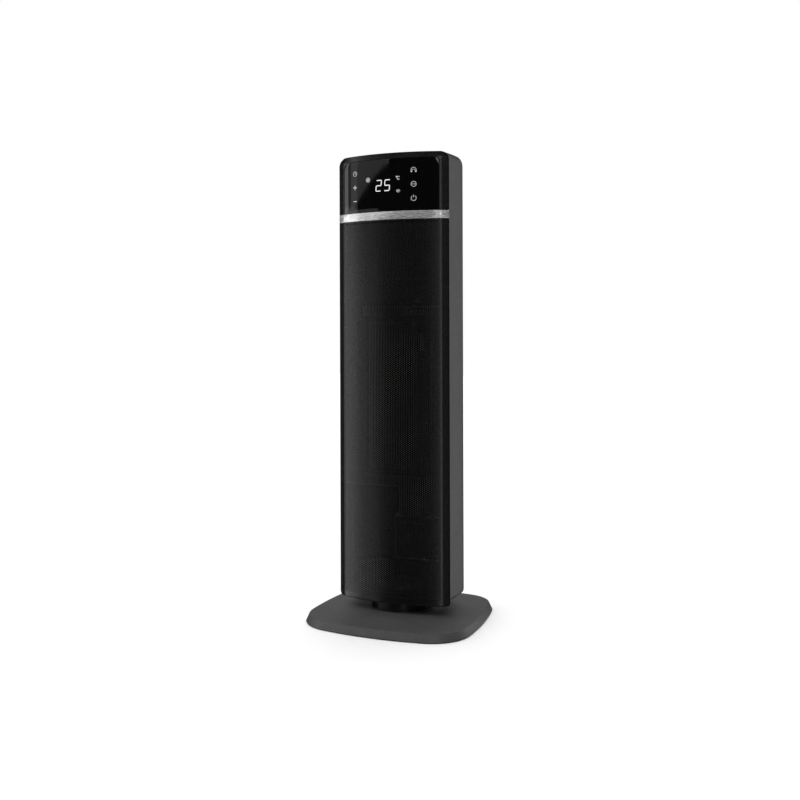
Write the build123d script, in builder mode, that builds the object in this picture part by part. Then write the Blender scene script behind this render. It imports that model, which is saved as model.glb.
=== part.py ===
from build123d import *
from math import atan2, cos, degrees, pi, radians, sin, sqrt, tan
import os

# Oscillating ceramic tower heater. Millimetres, +Z up, front face towards -Y.
# The origin is the point where the swivel axis meets the floor.

# ---- driving dimensions ----
TOWER_TOP = 634.0
COVER_BOTTOM = 28.5
SHELL_BOTTOM = 35.0
SKIN = 2.5

# front face in plan: a bowed middle and a flat bevel down each side
APEX_Y = -47.2
CREASE_X = 72.0
CREASE_Y = -33.0
EDGE_X = 81.0
EDGE_Y = -27.8
FRAME_SKIN = 3.0

# rear shell in plan
SIDE_X = 83.4
SIDE_Y = 5.0
CORNER_X = 82.4
CORNER_Y = 42.8
REAR_Y = 47.0
REAR_CORNER_R = 31.0
TOP_CORNER_R = 12.0
BOTTOM_CORNER_R = 5.0
REAR_TOP_R = 30.0

# front openings
OPENING_X = 70.4
OPENING_BOTTOM = 37.3
OPENING_TOP = 625.7
OPENING_TOP_R = 8.0
FIT_GAP = 0.2
BAND_BOTTOM = 544.2
BAND_TOP = 555.2
BAND_SKIN = 1.6
TOP_BEVEL = 3.0

# base
BASE_FRONT_Y = -108.8
BASE_BACK_Y = 108.8
BASE_SIDE = (117.3, -24.0)
BASE_FRONT_CORNER = (112.7, -92.6)
BASE_BACK_CORNER = (102.0, 98.0)
BASE_FRONT_R = 54.0
BASE_BACK_R = 46.0
BASE_UNDERSIDE = 1.5
RIM_HEIGHT = 9.7
RIM_INSET = 4.6
DOME_TOP = 16.5
DOME_FLAT_R = 60.0
DOME_EDGE_R = 98.0

# swivel
POST_R = 14.0
POST_TOP = 52.0
RUNNING_GAP = 0.08
COLLAR_R = 42.0
COLLAR_BOTTOM = 17.6
COLLAR_TOP = 28.2
HUB_R = 24.0
PLATE_LOW = SHELL_BOTTOM + SKIN
PLATE_HIGH = PLATE_LOW + 2.0
GEAR_MODULE = 1.5
RING_TEETH = 40
PINION_TEETH = 12
GEAR_BOTTOM = 43.0
GEAR_HEIGHT = 6.0
BACKLASH = 0.3
SWIVEL_CENTRES = GEAR_MODULE * (RING_TEETH + PINION_TEETH) / 2

# blower and heater
FAN_X = 18.0
FAN_Y = 10.0
FAN_R = 25.0
FAN_BOTTOM = 192.0
FAN_TOP = 424.0
FAN_BLADES = 32
FAN_SECTIONS = 5
SHAFT_R = 2.5
HEATER_BOTTOM = 200.0
HEATER_TOP = 415.0
HEATER_BACK = -21.0
HEATER_FRONT = -36.0
HEATER_HALF = 50.0
ELEMENT_PITCH = 15.0
ELEMENT_COUNT = 5
FIN_PITCH = 5.0

# rear intake, filter and grip
FILTER_HALF = 54.0
FILTER_BOTTOM = 182.0
FILTER_TOP = 434.0
POCKET_FLOOR = 40.0
FILTER_FACE = 45.0
GRIP_HALF = 45.0
GRIP_BOTTOM = 470.0
GRIP_TOP = 500.0
GRIP_DEPTH = 22.0

os.makedirs("parts", exist_ok=True)


def write(block, label):
    """Label a finished piece and write it as its own STEP file."""
    block.part.label = label
    export_step(block.part, f"parts/{label}.step")


# ---------------------------------------------------------------- outlines
def front_section(depth, back):
    """Plan face behind the front surface moved inwards by depth, down to y = back."""
    bevel = atan2(EDGE_Y - CREASE_Y, EDGE_X - CREASE_X)
    bow = 2 * atan2(CREASE_Y - APEX_Y, CREASE_X)
    lean = (bevel + bow) / 2
    crease = (CREASE_X - depth * sin(lean), CREASE_Y + depth * cos(lean))
    edge_x = EDGE_X - depth
    edge = (edge_x, crease[1] + (edge_x - crease[0]) * tan(bevel))
    with BuildSketch() as section:
        with BuildLine():
            ThreePointArc((-crease[0], crease[1]), (0, APEX_Y + depth), crease)
            right_side = [crease, edge, (edge_x, back)] if back > edge[1] + 0.01 else [crease, edge]
            left_side = [(-x, y) for x, y in reversed(right_side)]
            Polyline(*right_side, *left_side)
        make_face()
    return section.sketch


def shell_section(inset):
    """Plan face of the rear shell, with its outline moved inwards by inset."""
    with BuildSketch() as section:
        with BuildLine():
            ThreePointArc((EDGE_X, EDGE_Y), (SIDE_X, SIDE_Y), (CORNER_X, CORNER_Y))
            ThreePointArc((CORNER_X, CORNER_Y), (0, REAR_Y), (-CORNER_X, CORNER_Y))
            ThreePointArc((-CORNER_X, CORNER_Y), (-SIDE_X, SIDE_Y), (-EDGE_X, EDGE_Y))
            Line((-EDGE_X, EDGE_Y), (EDGE_X, EDGE_Y))
        make_face()
        fillet(section.vertices().group_by(Axis.Y)[-1], REAR_CORNER_R)
        if inset:
            offset(amount=-inset)
    return section.sketch


def upright_outline(half_width, bottom, top, inset=0.0):
    """Front view of the tower, X across and Y for height: a tall rectangle with rounded corners."""
    half = half_width - inset
    low = bottom + inset
    high = top - inset
    with BuildSketch() as outline:
        with Locations((0, (low + high) / 2)):
            Rectangle(2 * half, high - low)
        fillet(outline.vertices().group_by(Axis.Y)[-1], TOP_CORNER_R - inset)
        fillet(outline.vertices().group_by(Axis.Y)[0], BOTTOM_CORNER_R - inset)
    return outline.sketch


def side_outline(inset):
    """Side view of the rear shell, X for depth and Y for height, rounded over at the back."""
    low = SHELL_BOTTOM + inset
    high = TOWER_TOP - inset
    back = REAR_Y - inset
    with BuildSketch() as outline:
        with BuildLine():
            Polyline((-90, low), (back, low), (back, high), (-90, high), close=True)
        make_face()
        corners = outline.vertices().group_by(Axis.X)[-1].sort_by(Axis.Y)
        fillet(corners[1], REAR_TOP_R - inset)
        corners = outline.vertices().group_by(Axis.Y)[0].sort_by(Axis.X)
        fillet(corners[1], BOTTOM_CORNER_R + 1 - inset)
    return outline.sketch


def shell_block(inset):
    """Solid of the rear shell's outside, or of its inside when inset is the wall thickness."""
    with BuildPart() as block:
        with BuildSketch(Plane.XY.offset(SHELL_BOTTOM - 1)):
            add(shell_section(inset))
        extrude(amount=TOWER_TOP)
        with BuildSketch(Plane.XZ):
            add(upright_outline(SIDE_X, SHELL_BOTTOM, TOWER_TOP, inset))
        extrude(amount=100, both=True, mode=Mode.INTERSECT)
        with BuildSketch(Plane.YZ):
            add(side_outline(inset))
        extrude(amount=100, both=True, mode=Mode.INTERSECT)
    return block.part


def base_outline(inset=0.0):
    """Plan of the base: four bowed sides and rounded corners, each side moved inwards by inset."""
    fx, fy = BASE_FRONT_CORNER[0] - inset, BASE_FRONT_CORNER[1] + inset
    bx, by = BASE_BACK_CORNER[0] - inset, BASE_BACK_CORNER[1] - inset
    sx, sy = BASE_SIDE[0] - inset, BASE_SIDE[1]
    with BuildSketch() as outline:
        with BuildLine():
            ThreePointArc((-fx, fy), (0, BASE_FRONT_Y + inset), (fx, fy))
            ThreePointArc((fx, fy), (sx, sy), (bx, by))
            ThreePointArc((bx, by), (0, BASE_BACK_Y - inset), (-bx, by))
            ThreePointArc((-bx, by), (-sx, sy), (-fx, fy))
        make_face()
        fillet(outline.vertices().group_by(Axis.Y)[-1], BASE_BACK_R - inset)
        fillet(outline.vertices().group_by(Axis.Y)[0], BASE_FRONT_R - inset)
    return outline.sketch


def involute_angle(radius, base_r):
    """Angle in radians that an involute from base_r has turned through at radius."""
    slope = sqrt(max((radius / base_r) ** 2 - 1, 0))
    return slope - atan2(slope, 1)


def gear_section(teeth, module, bore, turn=0.0):
    """Spur gear in plan with involute flanks, less a little backlash, and a round bore."""
    pitch_r = module * teeth / 2
    base_r = pitch_r * cos(radians(20))
    tip_r = pitch_r + 0.9 * module
    root_r = pitch_r - 1.2 * module
    half_tooth = (pi / 2 * module - BACKLASH) / 2 / pitch_r
    low_r = max(root_r, base_r)
    steps = [low_r + (tip_r - low_r) * k / 3 for k in range(4)]
    pitch_angle = half_tooth + involute_angle(pitch_r, base_r)
    flank = [(r, pitch_angle - involute_angle(r, base_r)) for r in steps]
    flank.insert(0, (root_r - 0.5, flank[0][1]))
    one_side = [(r * cos(a), r * sin(a)) for r, a in flank]
    other_side = [(x, -y) for x, y in reversed(one_side)]
    with BuildSketch() as tooth:
        with BuildLine():
            Polyline(*one_side, *other_side, close=True)
        make_face()
    with BuildSketch() as section:
        Circle(root_r)
        with PolarLocations(0, teeth, start_angle=turn):
            add(tooth.sketch)
        Circle(bore, mode=Mode.SUBTRACT)
    return section.sketch


# ---------------------------------------------------------------- base
def rim_block(inset, height):
    """Sloped rim of the base with a flat top at the given height."""
    with BuildPart() as rim:
        with BuildSketch(Plane.XY.offset(BASE_UNDERSIDE)):
            add(base_outline(inset))
        extrude(amount=height - BASE_UNDERSIDE, taper=degrees(atan2(RIM_INSET, RIM_HEIGHT)))
    return rim.part


def dome_block(drop):
    """Low round rise in the middle of the base, lowered by drop."""
    rim_top = BASE_UNDERSIDE + RIM_HEIGHT
    with BuildPart() as dome:
        with BuildSketch(Plane.XZ):
            with BuildLine():
                Spline(
                    (DOME_FLAT_R, DOME_TOP - drop),
                    (DOME_EDGE_R, rim_top - drop),
                    tangents=((1, 0), (1, 0)),
                )
                Polyline(
                    (DOME_EDGE_R, rim_top - drop),
                    (DOME_EDGE_R, rim_top - drop - 2),
                    (0, rim_top - drop - 2),
                    (0, DOME_TOP - drop),
                    (DOME_FLAT_R, DOME_TOP - drop),
                )
            make_face()
        revolve(axis=Axis.Z)
    return dome.part


RIM_TOP = BASE_UNDERSIDE + RIM_HEIGHT
PLATE_TOP = 4.0
FEET_AT = [(-84, -74), (84, -74), (-74, 76), (74, 76)]
BASE_SCREWS_AT = [(-60, -84), (60, -84), (-92, 0), (92, 0), (-56, 88), (56, 88)]
FLANGE_R = 32.0
FLANGE_THICK = 4.0
POST_BORE_R = 9.0
POST_HOLE_GAP = 0.3
FOOT_R = 8.0
FOOT_GAP = 0.2
PLATE_MARGIN = 1.4
PILLAR_R = 3.5
PILLAR_DEEP = 4.0
THREAD_R = 1.4
BASE_HOLE_R = 1.8
BASE_SINK_R = 3.4
BASE_SINK_DEEP = 1.6
BASE_HEAD_R = 3.0
BASE_HEAD_HIGH = 1.5
BASE_SHANK_LONG = 4.6
RECESS_LONG = 3.6
RECESS_WIDE = 0.7
RECESS_DEEP = 0.8
WEIGHT_INSET = 28.0
WEIGHT_THICK = 4.0
WEIGHT_HOLE_R = 13.0
SLIDE_OUTER_R = 38.0
SLIDE_INNER_R = 28.0

with BuildPart() as base_cover:
    add(rim_block(0, RIM_TOP))
    fillet(base_cover.faces().sort_by(Axis.Z)[-1].edges(), 1.0)
    add(dome_block(0))
    add(rim_block(SKIN, RIM_TOP - SKIN), mode=Mode.SUBTRACT)
    add(dome_block(SKIN), mode=Mode.SUBTRACT)
    with BuildSketch(Plane.XY.offset(BASE_UNDERSIDE)):
        Circle(POST_R + POST_HOLE_GAP)
    extrude(amount=2 * DOME_TOP, mode=Mode.SUBTRACT)
    with BuildSketch(Plane.XY.offset(PLATE_TOP)):
        with Locations(*BASE_SCREWS_AT):
            Circle(PILLAR_R)
    extrude(amount=RIM_TOP - SKIN - PLATE_TOP + 0.5)
    with BuildSketch(Plane.XY.offset(PLATE_TOP)):
        with Locations(*BASE_SCREWS_AT):
            Circle(THREAD_R)
    extrude(amount=PILLAR_DEEP, mode=Mode.SUBTRACT)
write(base_cover, "base_cover")

with BuildPart() as base_plate:
    with BuildSketch(Plane.XY.offset(BASE_UNDERSIDE)):
        add(base_outline(SKIN + PLATE_MARGIN))
        with Locations(*FEET_AT):
            Circle(FOOT_R + FOOT_GAP, mode=Mode.SUBTRACT)
    extrude(amount=PLATE_TOP - BASE_UNDERSIDE)
    with BuildSketch(Plane.XY.offset(BASE_UNDERSIDE)):
        with Locations(*BASE_SCREWS_AT):
            Circle(BASE_HOLE_R)
    extrude(amount=5, mode=Mode.SUBTRACT)
    with BuildSketch(Plane.XY.offset(BASE_UNDERSIDE)):
        with Locations(*BASE_SCREWS_AT):
            Circle(BASE_SINK_R)
    extrude(amount=BASE_SINK_DEEP, mode=Mode.SUBTRACT)
write(base_plate, "base_plate")

with BuildPart() as counterweight:
    with BuildSketch(Plane.XY.offset(PLATE_TOP)):
        add(base_outline(WEIGHT_INSET))
        Circle(FLANGE_R + 4, mode=Mode.SUBTRACT)
        with Locations(*FEET_AT, *BASE_SCREWS_AT):
            Circle(WEIGHT_HOLE_R, mode=Mode.SUBTRACT)
    extrude(amount=WEIGHT_THICK)
write(counterweight, "counterweight")

with BuildPart() as rubber_feet:
    with BuildSketch() as pads:
        with Locations(*FEET_AT):
            Circle(FOOT_R)
    extrude(amount=PLATE_TOP)
    fillet(rubber_feet.edges().group_by(Axis.Z)[0], 0.8)
write(rubber_feet, "rubber_feet")

with BuildPart() as base_screws:
    with BuildSketch(Plane.XY.offset(BASE_UNDERSIDE + 0.1)):
        with Locations(*BASE_SCREWS_AT):
            Circle(BASE_HEAD_R)
    extrude(amount=BASE_HEAD_HIGH)
    with BuildSketch(Plane.XY.offset(BASE_UNDERSIDE + BASE_SINK_DEEP)):
        with Locations(*BASE_SCREWS_AT):
            Circle(THREAD_R)
    extrude(amount=BASE_SHANK_LONG)
    with BuildSketch(Plane.XY.offset(BASE_UNDERSIDE + 0.1)):
        with Locations(*BASE_SCREWS_AT):
            Rectangle(RECESS_LONG, RECESS_WIDE)
            Rectangle(RECESS_WIDE, RECESS_LONG)
    extrude(amount=RECESS_DEEP, mode=Mode.SUBTRACT)
write(base_screws, "base_screws")

CLIP_BOTTOM = 40.2
CLIP_THICK = 1.5
CLIP_R = 18.0
CLIP_MOUTH = (9.0, 12.0)
GROOVE_R = 12.6
with BuildPart() as pivot_post:
    with BuildSketch(Plane.XY.offset(PLATE_TOP)):
        Circle(FLANGE_R)
    extrude(amount=FLANGE_THICK)
    with BuildSketch(Plane.XY.offset(PLATE_TOP)):
        Circle(POST_R)
    extrude(amount=POST_TOP - PLATE_TOP)
    with BuildSketch(Plane.XY.offset(CLIP_BOTTOM)):
        Circle(POST_R + 1)
        Circle(GROOVE_R, mode=Mode.SUBTRACT)
    extrude(amount=CLIP_THICK, mode=Mode.SUBTRACT)
    with Locations((0, 0, POST_TOP)):
        Hole(POST_BORE_R)
    chamfer(pivot_post.edges().group_by(Axis.Z)[-1], 0.8)
write(pivot_post, "pivot_post")

with BuildPart() as pivot_clip:
    with BuildSketch(Plane.XY.offset(CLIP_BOTTOM + 0.1)):
        Circle(CLIP_R)
        Circle(GROOVE_R, mode=Mode.SUBTRACT)
        with Locations((0, 3 - CLIP_R)):
            Rectangle(*CLIP_MOUTH, mode=Mode.SUBTRACT)
    extrude(amount=CLIP_THICK - 0.2)
write(pivot_clip, "pivot_clip")

with BuildPart() as swivel_gear:
    with BuildSketch(Plane.XY.offset(GEAR_BOTTOM)):
        add(gear_section(RING_TEETH, GEAR_MODULE, POST_R))
    extrude(amount=GEAR_HEIGHT)
write(swivel_gear, "swivel_gear")

with BuildPart() as slide_ring:
    with BuildSketch(Plane.XY.offset(DOME_TOP)):
        Circle(SLIDE_OUTER_R)
        Circle(SLIDE_INNER_R, mode=Mode.SUBTRACT)
    extrude(amount=COLLAR_BOTTOM - DOME_TOP - 0.1)
write(slide_ring, "slide_ring")

# ---------------------------------------------------------------- swivel, tower side
COLLAR_WALL = 3.0
COLLAR_RIBS = 8
RIB_THICK = 2.0
SCREW_CIRCLE_R = 19.0
COLLAR_SCREWS = 4
COLLAR_HOLE_R = 1.7
COLLAR_HEAD_R = 2.6
SWIVEL_PLATE_WIDE = 140.0
SWIVEL_PLATE_DEEP = 56.0
POST_CLEARANCE = 0.5

with BuildPart() as swivel_collar:
    with BuildSketch(Plane.XZ):
        with BuildLine():
            Polyline(
                (POST_R + RUNNING_GAP, COLLAR_BOTTOM),
                (COLLAR_R, COLLAR_BOTTOM),
                (COLLAR_R, COLLAR_TOP),
                (COLLAR_R - COLLAR_WALL, COLLAR_TOP),
                (COLLAR_R - COLLAR_WALL, COLLAR_BOTTOM + COLLAR_WALL),
                (HUB_R, COLLAR_BOTTOM + COLLAR_WALL),
                (HUB_R, SHELL_BOTTOM),
                (POST_R + RUNNING_GAP, SHELL_BOTTOM),
                close=True,
            )
        make_face()
    revolve(axis=Axis.Z)
    with BuildSketch(Plane.XY.offset(COLLAR_BOTTOM + COLLAR_WALL)):
        with PolarLocations((HUB_R + COLLAR_R - COLLAR_WALL) / 2, COLLAR_RIBS):
            Rectangle(COLLAR_R - 1 - HUB_R, RIB_THICK)
    extrude(amount=COLLAR_TOP - COLLAR_BOTTOM - COLLAR_WALL - 0.5)
    with BuildSketch(Plane.XY.offset(SHELL_BOTTOM)):
        with PolarLocations(SCREW_CIRCLE_R, COLLAR_SCREWS, start_angle=45):
            Circle(THREAD_R)
    extrude(amount=-10, mode=Mode.SUBTRACT)
write(swivel_collar, "swivel_collar")

OSC_X = -SWIVEL_CENTRES
OSC_PLATE = 51.0
OSC_CAN_R = 25.0
OSC_CAN_HIGH = 18.0
OSC_SHAFT_R = 3.0
BRACKET_WIDE = 30.0
BRACKET_DEEP = 58.0
BRACKET_SHEET = 1.5
BRACKET_LEG_Y = (BRACKET_DEEP - BRACKET_SHEET) / 2
FOOT_TAB_Y = 32.0
with BuildPart() as swivel_plate:
    with BuildSketch(Plane.XY.offset(PLATE_LOW)):
        RectangleRounded(SWIVEL_PLATE_WIDE, SWIVEL_PLATE_DEEP, 4)
        Circle(POST_R + POST_CLEARANCE, mode=Mode.SUBTRACT)
        with PolarLocations(SCREW_CIRCLE_R, COLLAR_SCREWS, start_angle=45):
            Circle(COLLAR_HOLE_R, mode=Mode.SUBTRACT)
    extrude(amount=PLATE_HIGH - PLATE_LOW)
write(swivel_plate, "swivel_plate")

with BuildPart() as collar_screws:
    with BuildSketch(Plane.XY.offset(PLATE_HIGH)):
        with PolarLocations(SCREW_CIRCLE_R, COLLAR_SCREWS, start_angle=45):
            Circle(COLLAR_HEAD_R)
    extrude(amount=0.6)
    with BuildSketch(Plane.XY.offset(PLATE_HIGH)):
        with PolarLocations(SCREW_CIRCLE_R, COLLAR_SCREWS, start_angle=45):
            Circle(THREAD_R)
    extrude(amount=-12)
write(collar_screws, "collar_screws")

with BuildPart() as swing_bracket:
    with BuildSketch(Plane.XY.offset(OSC_PLATE)):
        with Locations((OSC_X, 0)):
            Rectangle(BRACKET_WIDE, BRACKET_DEEP)
            Circle(OSC_SHAFT_R + 1, mode=Mode.SUBTRACT)
    extrude(amount=BRACKET_SHEET)
    with BuildSketch(Plane.XY.offset(PLATE_HIGH)):
        with Locations((OSC_X, BRACKET_LEG_Y), (OSC_X, -BRACKET_LEG_Y)):
            Rectangle(BRACKET_WIDE, BRACKET_SHEET)
    extrude(amount=OSC_PLATE - PLATE_HIGH)
    with BuildSketch(Plane.XY.offset(PLATE_HIGH)):
        with Locations((OSC_X, FOOT_TAB_Y), (OSC_X, -FOOT_TAB_Y)):
            Rectangle(24, 9)
    extrude(amount=1.2)
write(swing_bracket, "swing_bracket")

with BuildPart() as swing_motor:
    with BuildSketch(Plane.XY.offset(OSC_PLATE + BRACKET_SHEET)):
        with Locations((OSC_X, 0)):
            Circle(OSC_CAN_R)
    extrude(amount=OSC_CAN_HIGH)
    fillet(swing_motor.edges().group_by(Axis.Z)[-1], 1.5)
    with BuildSketch(Plane.XY.offset(OSC_PLATE + BRACKET_SHEET)):
        with Locations((OSC_X, 0)):
            Circle(OSC_SHAFT_R + RUNNING_GAP)
    extrude(amount=8, mode=Mode.SUBTRACT)
    with BuildSketch(Plane.XY.offset(OSC_PLATE + 6)):
        with Locations((OSC_X - 24, 0)):
            Rectangle(8, 14)
    extrude(amount=10)
write(swing_motor, "swing_motor")

with BuildPart() as drive_pinion:
    with BuildSketch(Plane.XY.offset(GEAR_BOTTOM)):
        with Locations((OSC_X, 0)):
            add(gear_section(PINION_TEETH, GEAR_MODULE, 1.0, 180 / PINION_TEETH))
            Circle(OSC_SHAFT_R)
    extrude(amount=GEAR_HEIGHT)
    with BuildSketch(Plane.XY.offset(GEAR_BOTTOM)):
        with Locations((OSC_X, 0)):
            Circle(OSC_SHAFT_R)
    extrude(amount=OSC_PLATE + 8 - GEAR_BOTTOM)
write(drive_pinion, "drive_pinion")

# tilt switch: a weighted lever on a cross pin, in a small box beside the swivel
TILT_X = 46.0
TILT_TOP = 70.0
TILT_PIN_Z = 64.0
PIN_R = 1.2
PIN_GAP = 0.06
TILT_WIDE = 20.0
TILT_DEEP = 30.0
TILT_WALL = 2.0
TILT_PIN_HALF = TILT_WIDE / 2 - 0.5
BOB_DROP = 16.0
BOB_R = 4.0
with BuildPart() as tilt_case:
    with BuildSketch(Plane.XY.offset(PLATE_HIGH)):
        with Locations((TILT_X, 0)):
            RectangleRounded(TILT_WIDE, TILT_DEEP, 2)
    extrude(amount=TILT_TOP - PLATE_HIGH)
    with BuildSketch(Plane.XY.offset(PLATE_HIGH + TILT_WALL)):
        with Locations((TILT_X, 0)):
            Rectangle(TILT_WIDE - 2 * TILT_WALL, TILT_DEEP - 2 * TILT_WALL)
    extrude(amount=TILT_TOP - PLATE_HIGH - TILT_WALL - 1.5, mode=Mode.SUBTRACT)
    with BuildSketch(Plane.YZ.offset(TILT_X)):
        with Locations((0, TILT_PIN_Z)):
            Circle(PIN_R)
    extrude(amount=TILT_PIN_HALF, both=True, mode=Mode.SUBTRACT)
write(tilt_case, "tilt_case")

with BuildPart() as tilt_pin:
    with BuildSketch(Plane.YZ.offset(TILT_X)):
        with Locations((0, TILT_PIN_Z)):
            Circle(PIN_R)
    extrude(amount=TILT_PIN_HALF, both=True)
write(tilt_pin, "tilt_pin")

with BuildPart() as tilt_weight:
    with BuildSketch(Plane.YZ.offset(TILT_X)):
        with Locations((0, TILT_PIN_Z)):
            Circle(3)
        with Locations((0, TILT_PIN_Z - BOB_DROP / 2)):
            Rectangle(2.4, 14)
    extrude(amount=3, both=True)
    with BuildSketch(Plane.YZ.offset(TILT_X)):
        with Locations((0, TILT_PIN_Z - BOB_DROP)):
            Circle(BOB_R)
    extrude(amount=6, both=True)
    with BuildSketch(Plane.YZ.offset(TILT_X)):
        with Locations((0, TILT_PIN_Z)):
            Circle(PIN_R + PIN_GAP)
    extrude(amount=10, both=True, mode=Mode.SUBTRACT)
write(tilt_weight, "tilt_weight")

# ---------------------------------------------------------------- rear shell
GLAND_X = 36.0
GLAND_Z = 60.0
GLAND_HOLE_R = 6.0
SWITCH_X = -36.0
SWITCH_Z = 98.0
SWITCH_HALF_W = 10.5
SWITCH_HALF_H = 14.0
SLOT_PITCH = 6.0
SLOT_HEIGHT = 3.2
SLOT_WIDE = 44.0
SLOT_COLUMNS_APART = 50.0
POCKET_WALL = 2.5
POCKET_FLOOR_THICK = 2.0
GRIP_WALL = 2.4
GLAND_FLANGE = 2.5
GLAND_BORE_R = 3.6
SHELL_SCREWS_AT = [(-62, 60), (62, 60), (-62, 300), (62, 300), (-62, 560), (62, 560)]
SCREW_BOSS_R = 4.6
SCREW_BOSS_BACK = 30.0
SCREW_SEAT_Y = 40.8
SCREW_HEAD_R = 2.9
SCREW_HEAD_HIGH = 1.6
SCREW_SHANK_R = 1.5

with BuildPart() as screw_bosses:
    with BuildSketch(Plane.XZ.offset(-SCREW_BOSS_BACK)):
        with Locations(*SHELL_SCREWS_AT):
            Circle(SCREW_BOSS_R)
    extrude(amount=-20)
    add(shell_block(0.4), mode=Mode.INTERSECT)

with BuildPart() as rear_housing:
    add(shell_block(0))
    add(shell_block(SKIN), mode=Mode.SUBTRACT)
    with BuildSketch(Plane.XZ.offset(-EDGE_Y - 8)):
        add(upright_outline(EDGE_X, SHELL_BOTTOM, TOWER_TOP, SKIN))
    extrude(amount=20, mode=Mode.SUBTRACT)
    with BuildSketch(Plane.XZ.offset(-POCKET_FLOOR + POCKET_FLOOR_THICK)):
        with Locations((0, (FILTER_BOTTOM + FILTER_TOP) / 2)):
            Rectangle(2 * (FILTER_HALF + POCKET_WALL), FILTER_TOP - FILTER_BOTTOM + 2 * POCKET_WALL)
    extrude(amount=-6.8)
    with BuildSketch(Plane.XZ.offset(-POCKET_FLOOR)):
        with Locations((0, (FILTER_BOTTOM + FILTER_TOP) / 2)):
            Rectangle(2 * FILTER_HALF, FILTER_TOP - FILTER_BOTTOM)
    extrude(amount=-20, mode=Mode.SUBTRACT)
    with BuildSketch(Plane.XZ.offset(-POCKET_FLOOR + 5)):
        with Locations((0, (FILTER_BOTTOM + FILTER_TOP) / 2)):
            with GridLocations(SLOT_COLUMNS_APART, SLOT_PITCH, 2, int((FILTER_TOP - FILTER_BOTTOM - 12) / SLOT_PITCH)):
                SlotOverall(SLOT_WIDE, SLOT_HEIGHT)
    extrude(amount=-10, mode=Mode.SUBTRACT)
    with BuildSketch(Plane.XZ.offset(-20)):
        with Locations((0, (GRIP_BOTTOM + GRIP_TOP) / 2)):
            Rectangle(2 * GRIP_HALF + 2 * GRIP_WALL + FIT_GAP, GRIP_TOP - GRIP_BOTTOM + 2 * GRIP_WALL + FIT_GAP)
        with Locations((SWITCH_X, SWITCH_Z)):
            Rectangle(2 * SWITCH_HALF_W, 2 * SWITCH_HALF_H)
        with Locations((GLAND_X, GLAND_Z)):
            Circle(GLAND_HOLE_R)
    extrude(amount=-40, mode=Mode.SUBTRACT)
    with BuildSketch(Plane.XY.offset(SHELL_BOTTOM - 1)):
        Circle(POST_R + POST_CLEARANCE)
        with PolarLocations(SCREW_CIRCLE_R, COLLAR_SCREWS, start_angle=45):
            Circle(COLLAR_HOLE_R)
    extrude(amount=SKIN + 2, mode=Mode.SUBTRACT)
    add(screw_bosses.part)
    with BuildSketch(Plane.XZ.offset(-SCREW_BOSS_BACK + 1)):
        with Locations(*SHELL_SCREWS_AT):
            Circle(SCREW_SHANK_R + 0.2)
    extrude(amount=-40, mode=Mode.SUBTRACT)
    with BuildSketch(Plane.XZ.offset(-SCREW_SEAT_Y)):
        with Locations(*SHELL_SCREWS_AT):
            Circle(SCREW_HEAD_R + 0.3)
    extrude(amount=-20, mode=Mode.SUBTRACT)
write(rear_housing, "rear_housing")

with BuildPart() as grip_cup:
    with BuildSketch(Plane.XZ.offset(-(REAR_Y - GRIP_DEPTH - 2))):
        with Locations((0, (GRIP_BOTTOM + GRIP_TOP) / 2)):
            RectangleRounded(2 * (GRIP_HALF + GRIP_WALL), GRIP_TOP - GRIP_BOTTOM + 2 * GRIP_WALL, 0.5)
    extrude(amount=-GRIP_DEPTH - 2)
    with BuildSketch(Plane.XZ.offset(-(REAR_Y - GRIP_DEPTH))):
        with Locations((0, (GRIP_BOTTOM + GRIP_TOP) / 2)):
            RectangleRounded(2 * GRIP_HALF, GRIP_TOP - GRIP_BOTTOM, 4)
    extrude(amount=-GRIP_DEPTH - 5, mode=Mode.SUBTRACT)
    add(shell_block(0), mode=Mode.INTERSECT)
write(grip_cup, "grip_cup")

with BuildPart() as cord_gland:
    with BuildSketch(Plane.XZ.offset(-REAR_Y - 1.4)):
        with Locations((GLAND_X, GLAND_Z)):
            Circle(GLAND_HOLE_R + GLAND_FLANGE)
    extrude(amount=2.2)
    with BuildSketch(Plane.XZ.offset(-REAR_Y)):
        with Locations((GLAND_X, GLAND_Z)):
            Circle(GLAND_HOLE_R)
    extrude(amount=10)
    with BuildSketch(Plane.XZ.offset(-REAR_Y + 6)):
        with Locations((GLAND_X, GLAND_Z)):
            Circle(GLAND_HOLE_R + 1.6)
    extrude(amount=3)
    with BuildSketch(Plane.XZ.offset(-REAR_Y - 5)):
        with Locations((GLAND_X, GLAND_Z)):
            Circle(GLAND_BORE_R)
    extrude(amount=30, mode=Mode.SUBTRACT)
    add(rear_housing.part, mode=Mode.SUBTRACT)
write(cord_gland, "cord_gland")

# ---------------------------------------------------------------- front cover, grille, band, panel
PANEL_NEAR = 0.3
PANEL_FAR = 2.5
GRILLE_NEAR = 0.5
GRILLE_FAR = 1.5
RAIL_REACH = 6.0


def window(half_width, bottom, top, top_r, bottom_r):
    """Front view of an opening in the cover, X across and Y for height."""
    with BuildSketch() as outline:
        with Locations((0, (bottom + top) / 2)):
            Rectangle(2 * half_width, top - bottom)
        if top_r:
            fillet(outline.vertices().group_by(Axis.Y)[-1], top_r)
        if bottom_r:
            fillet(outline.vertices().group_by(Axis.Y)[0], bottom_r)
    return outline.sketch


def front_skin(near, far, bottom, top):
    """Curved sheet that follows the front face, between two depths and two heights."""
    with BuildPart() as sheet:
        with BuildSketch(Plane.XY.offset(bottom)):
            add(front_section(near, EDGE_Y))
            add(front_section(far, EDGE_Y + 20), mode=Mode.SUBTRACT)
        extrude(amount=top - bottom)
    return sheet.part


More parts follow.
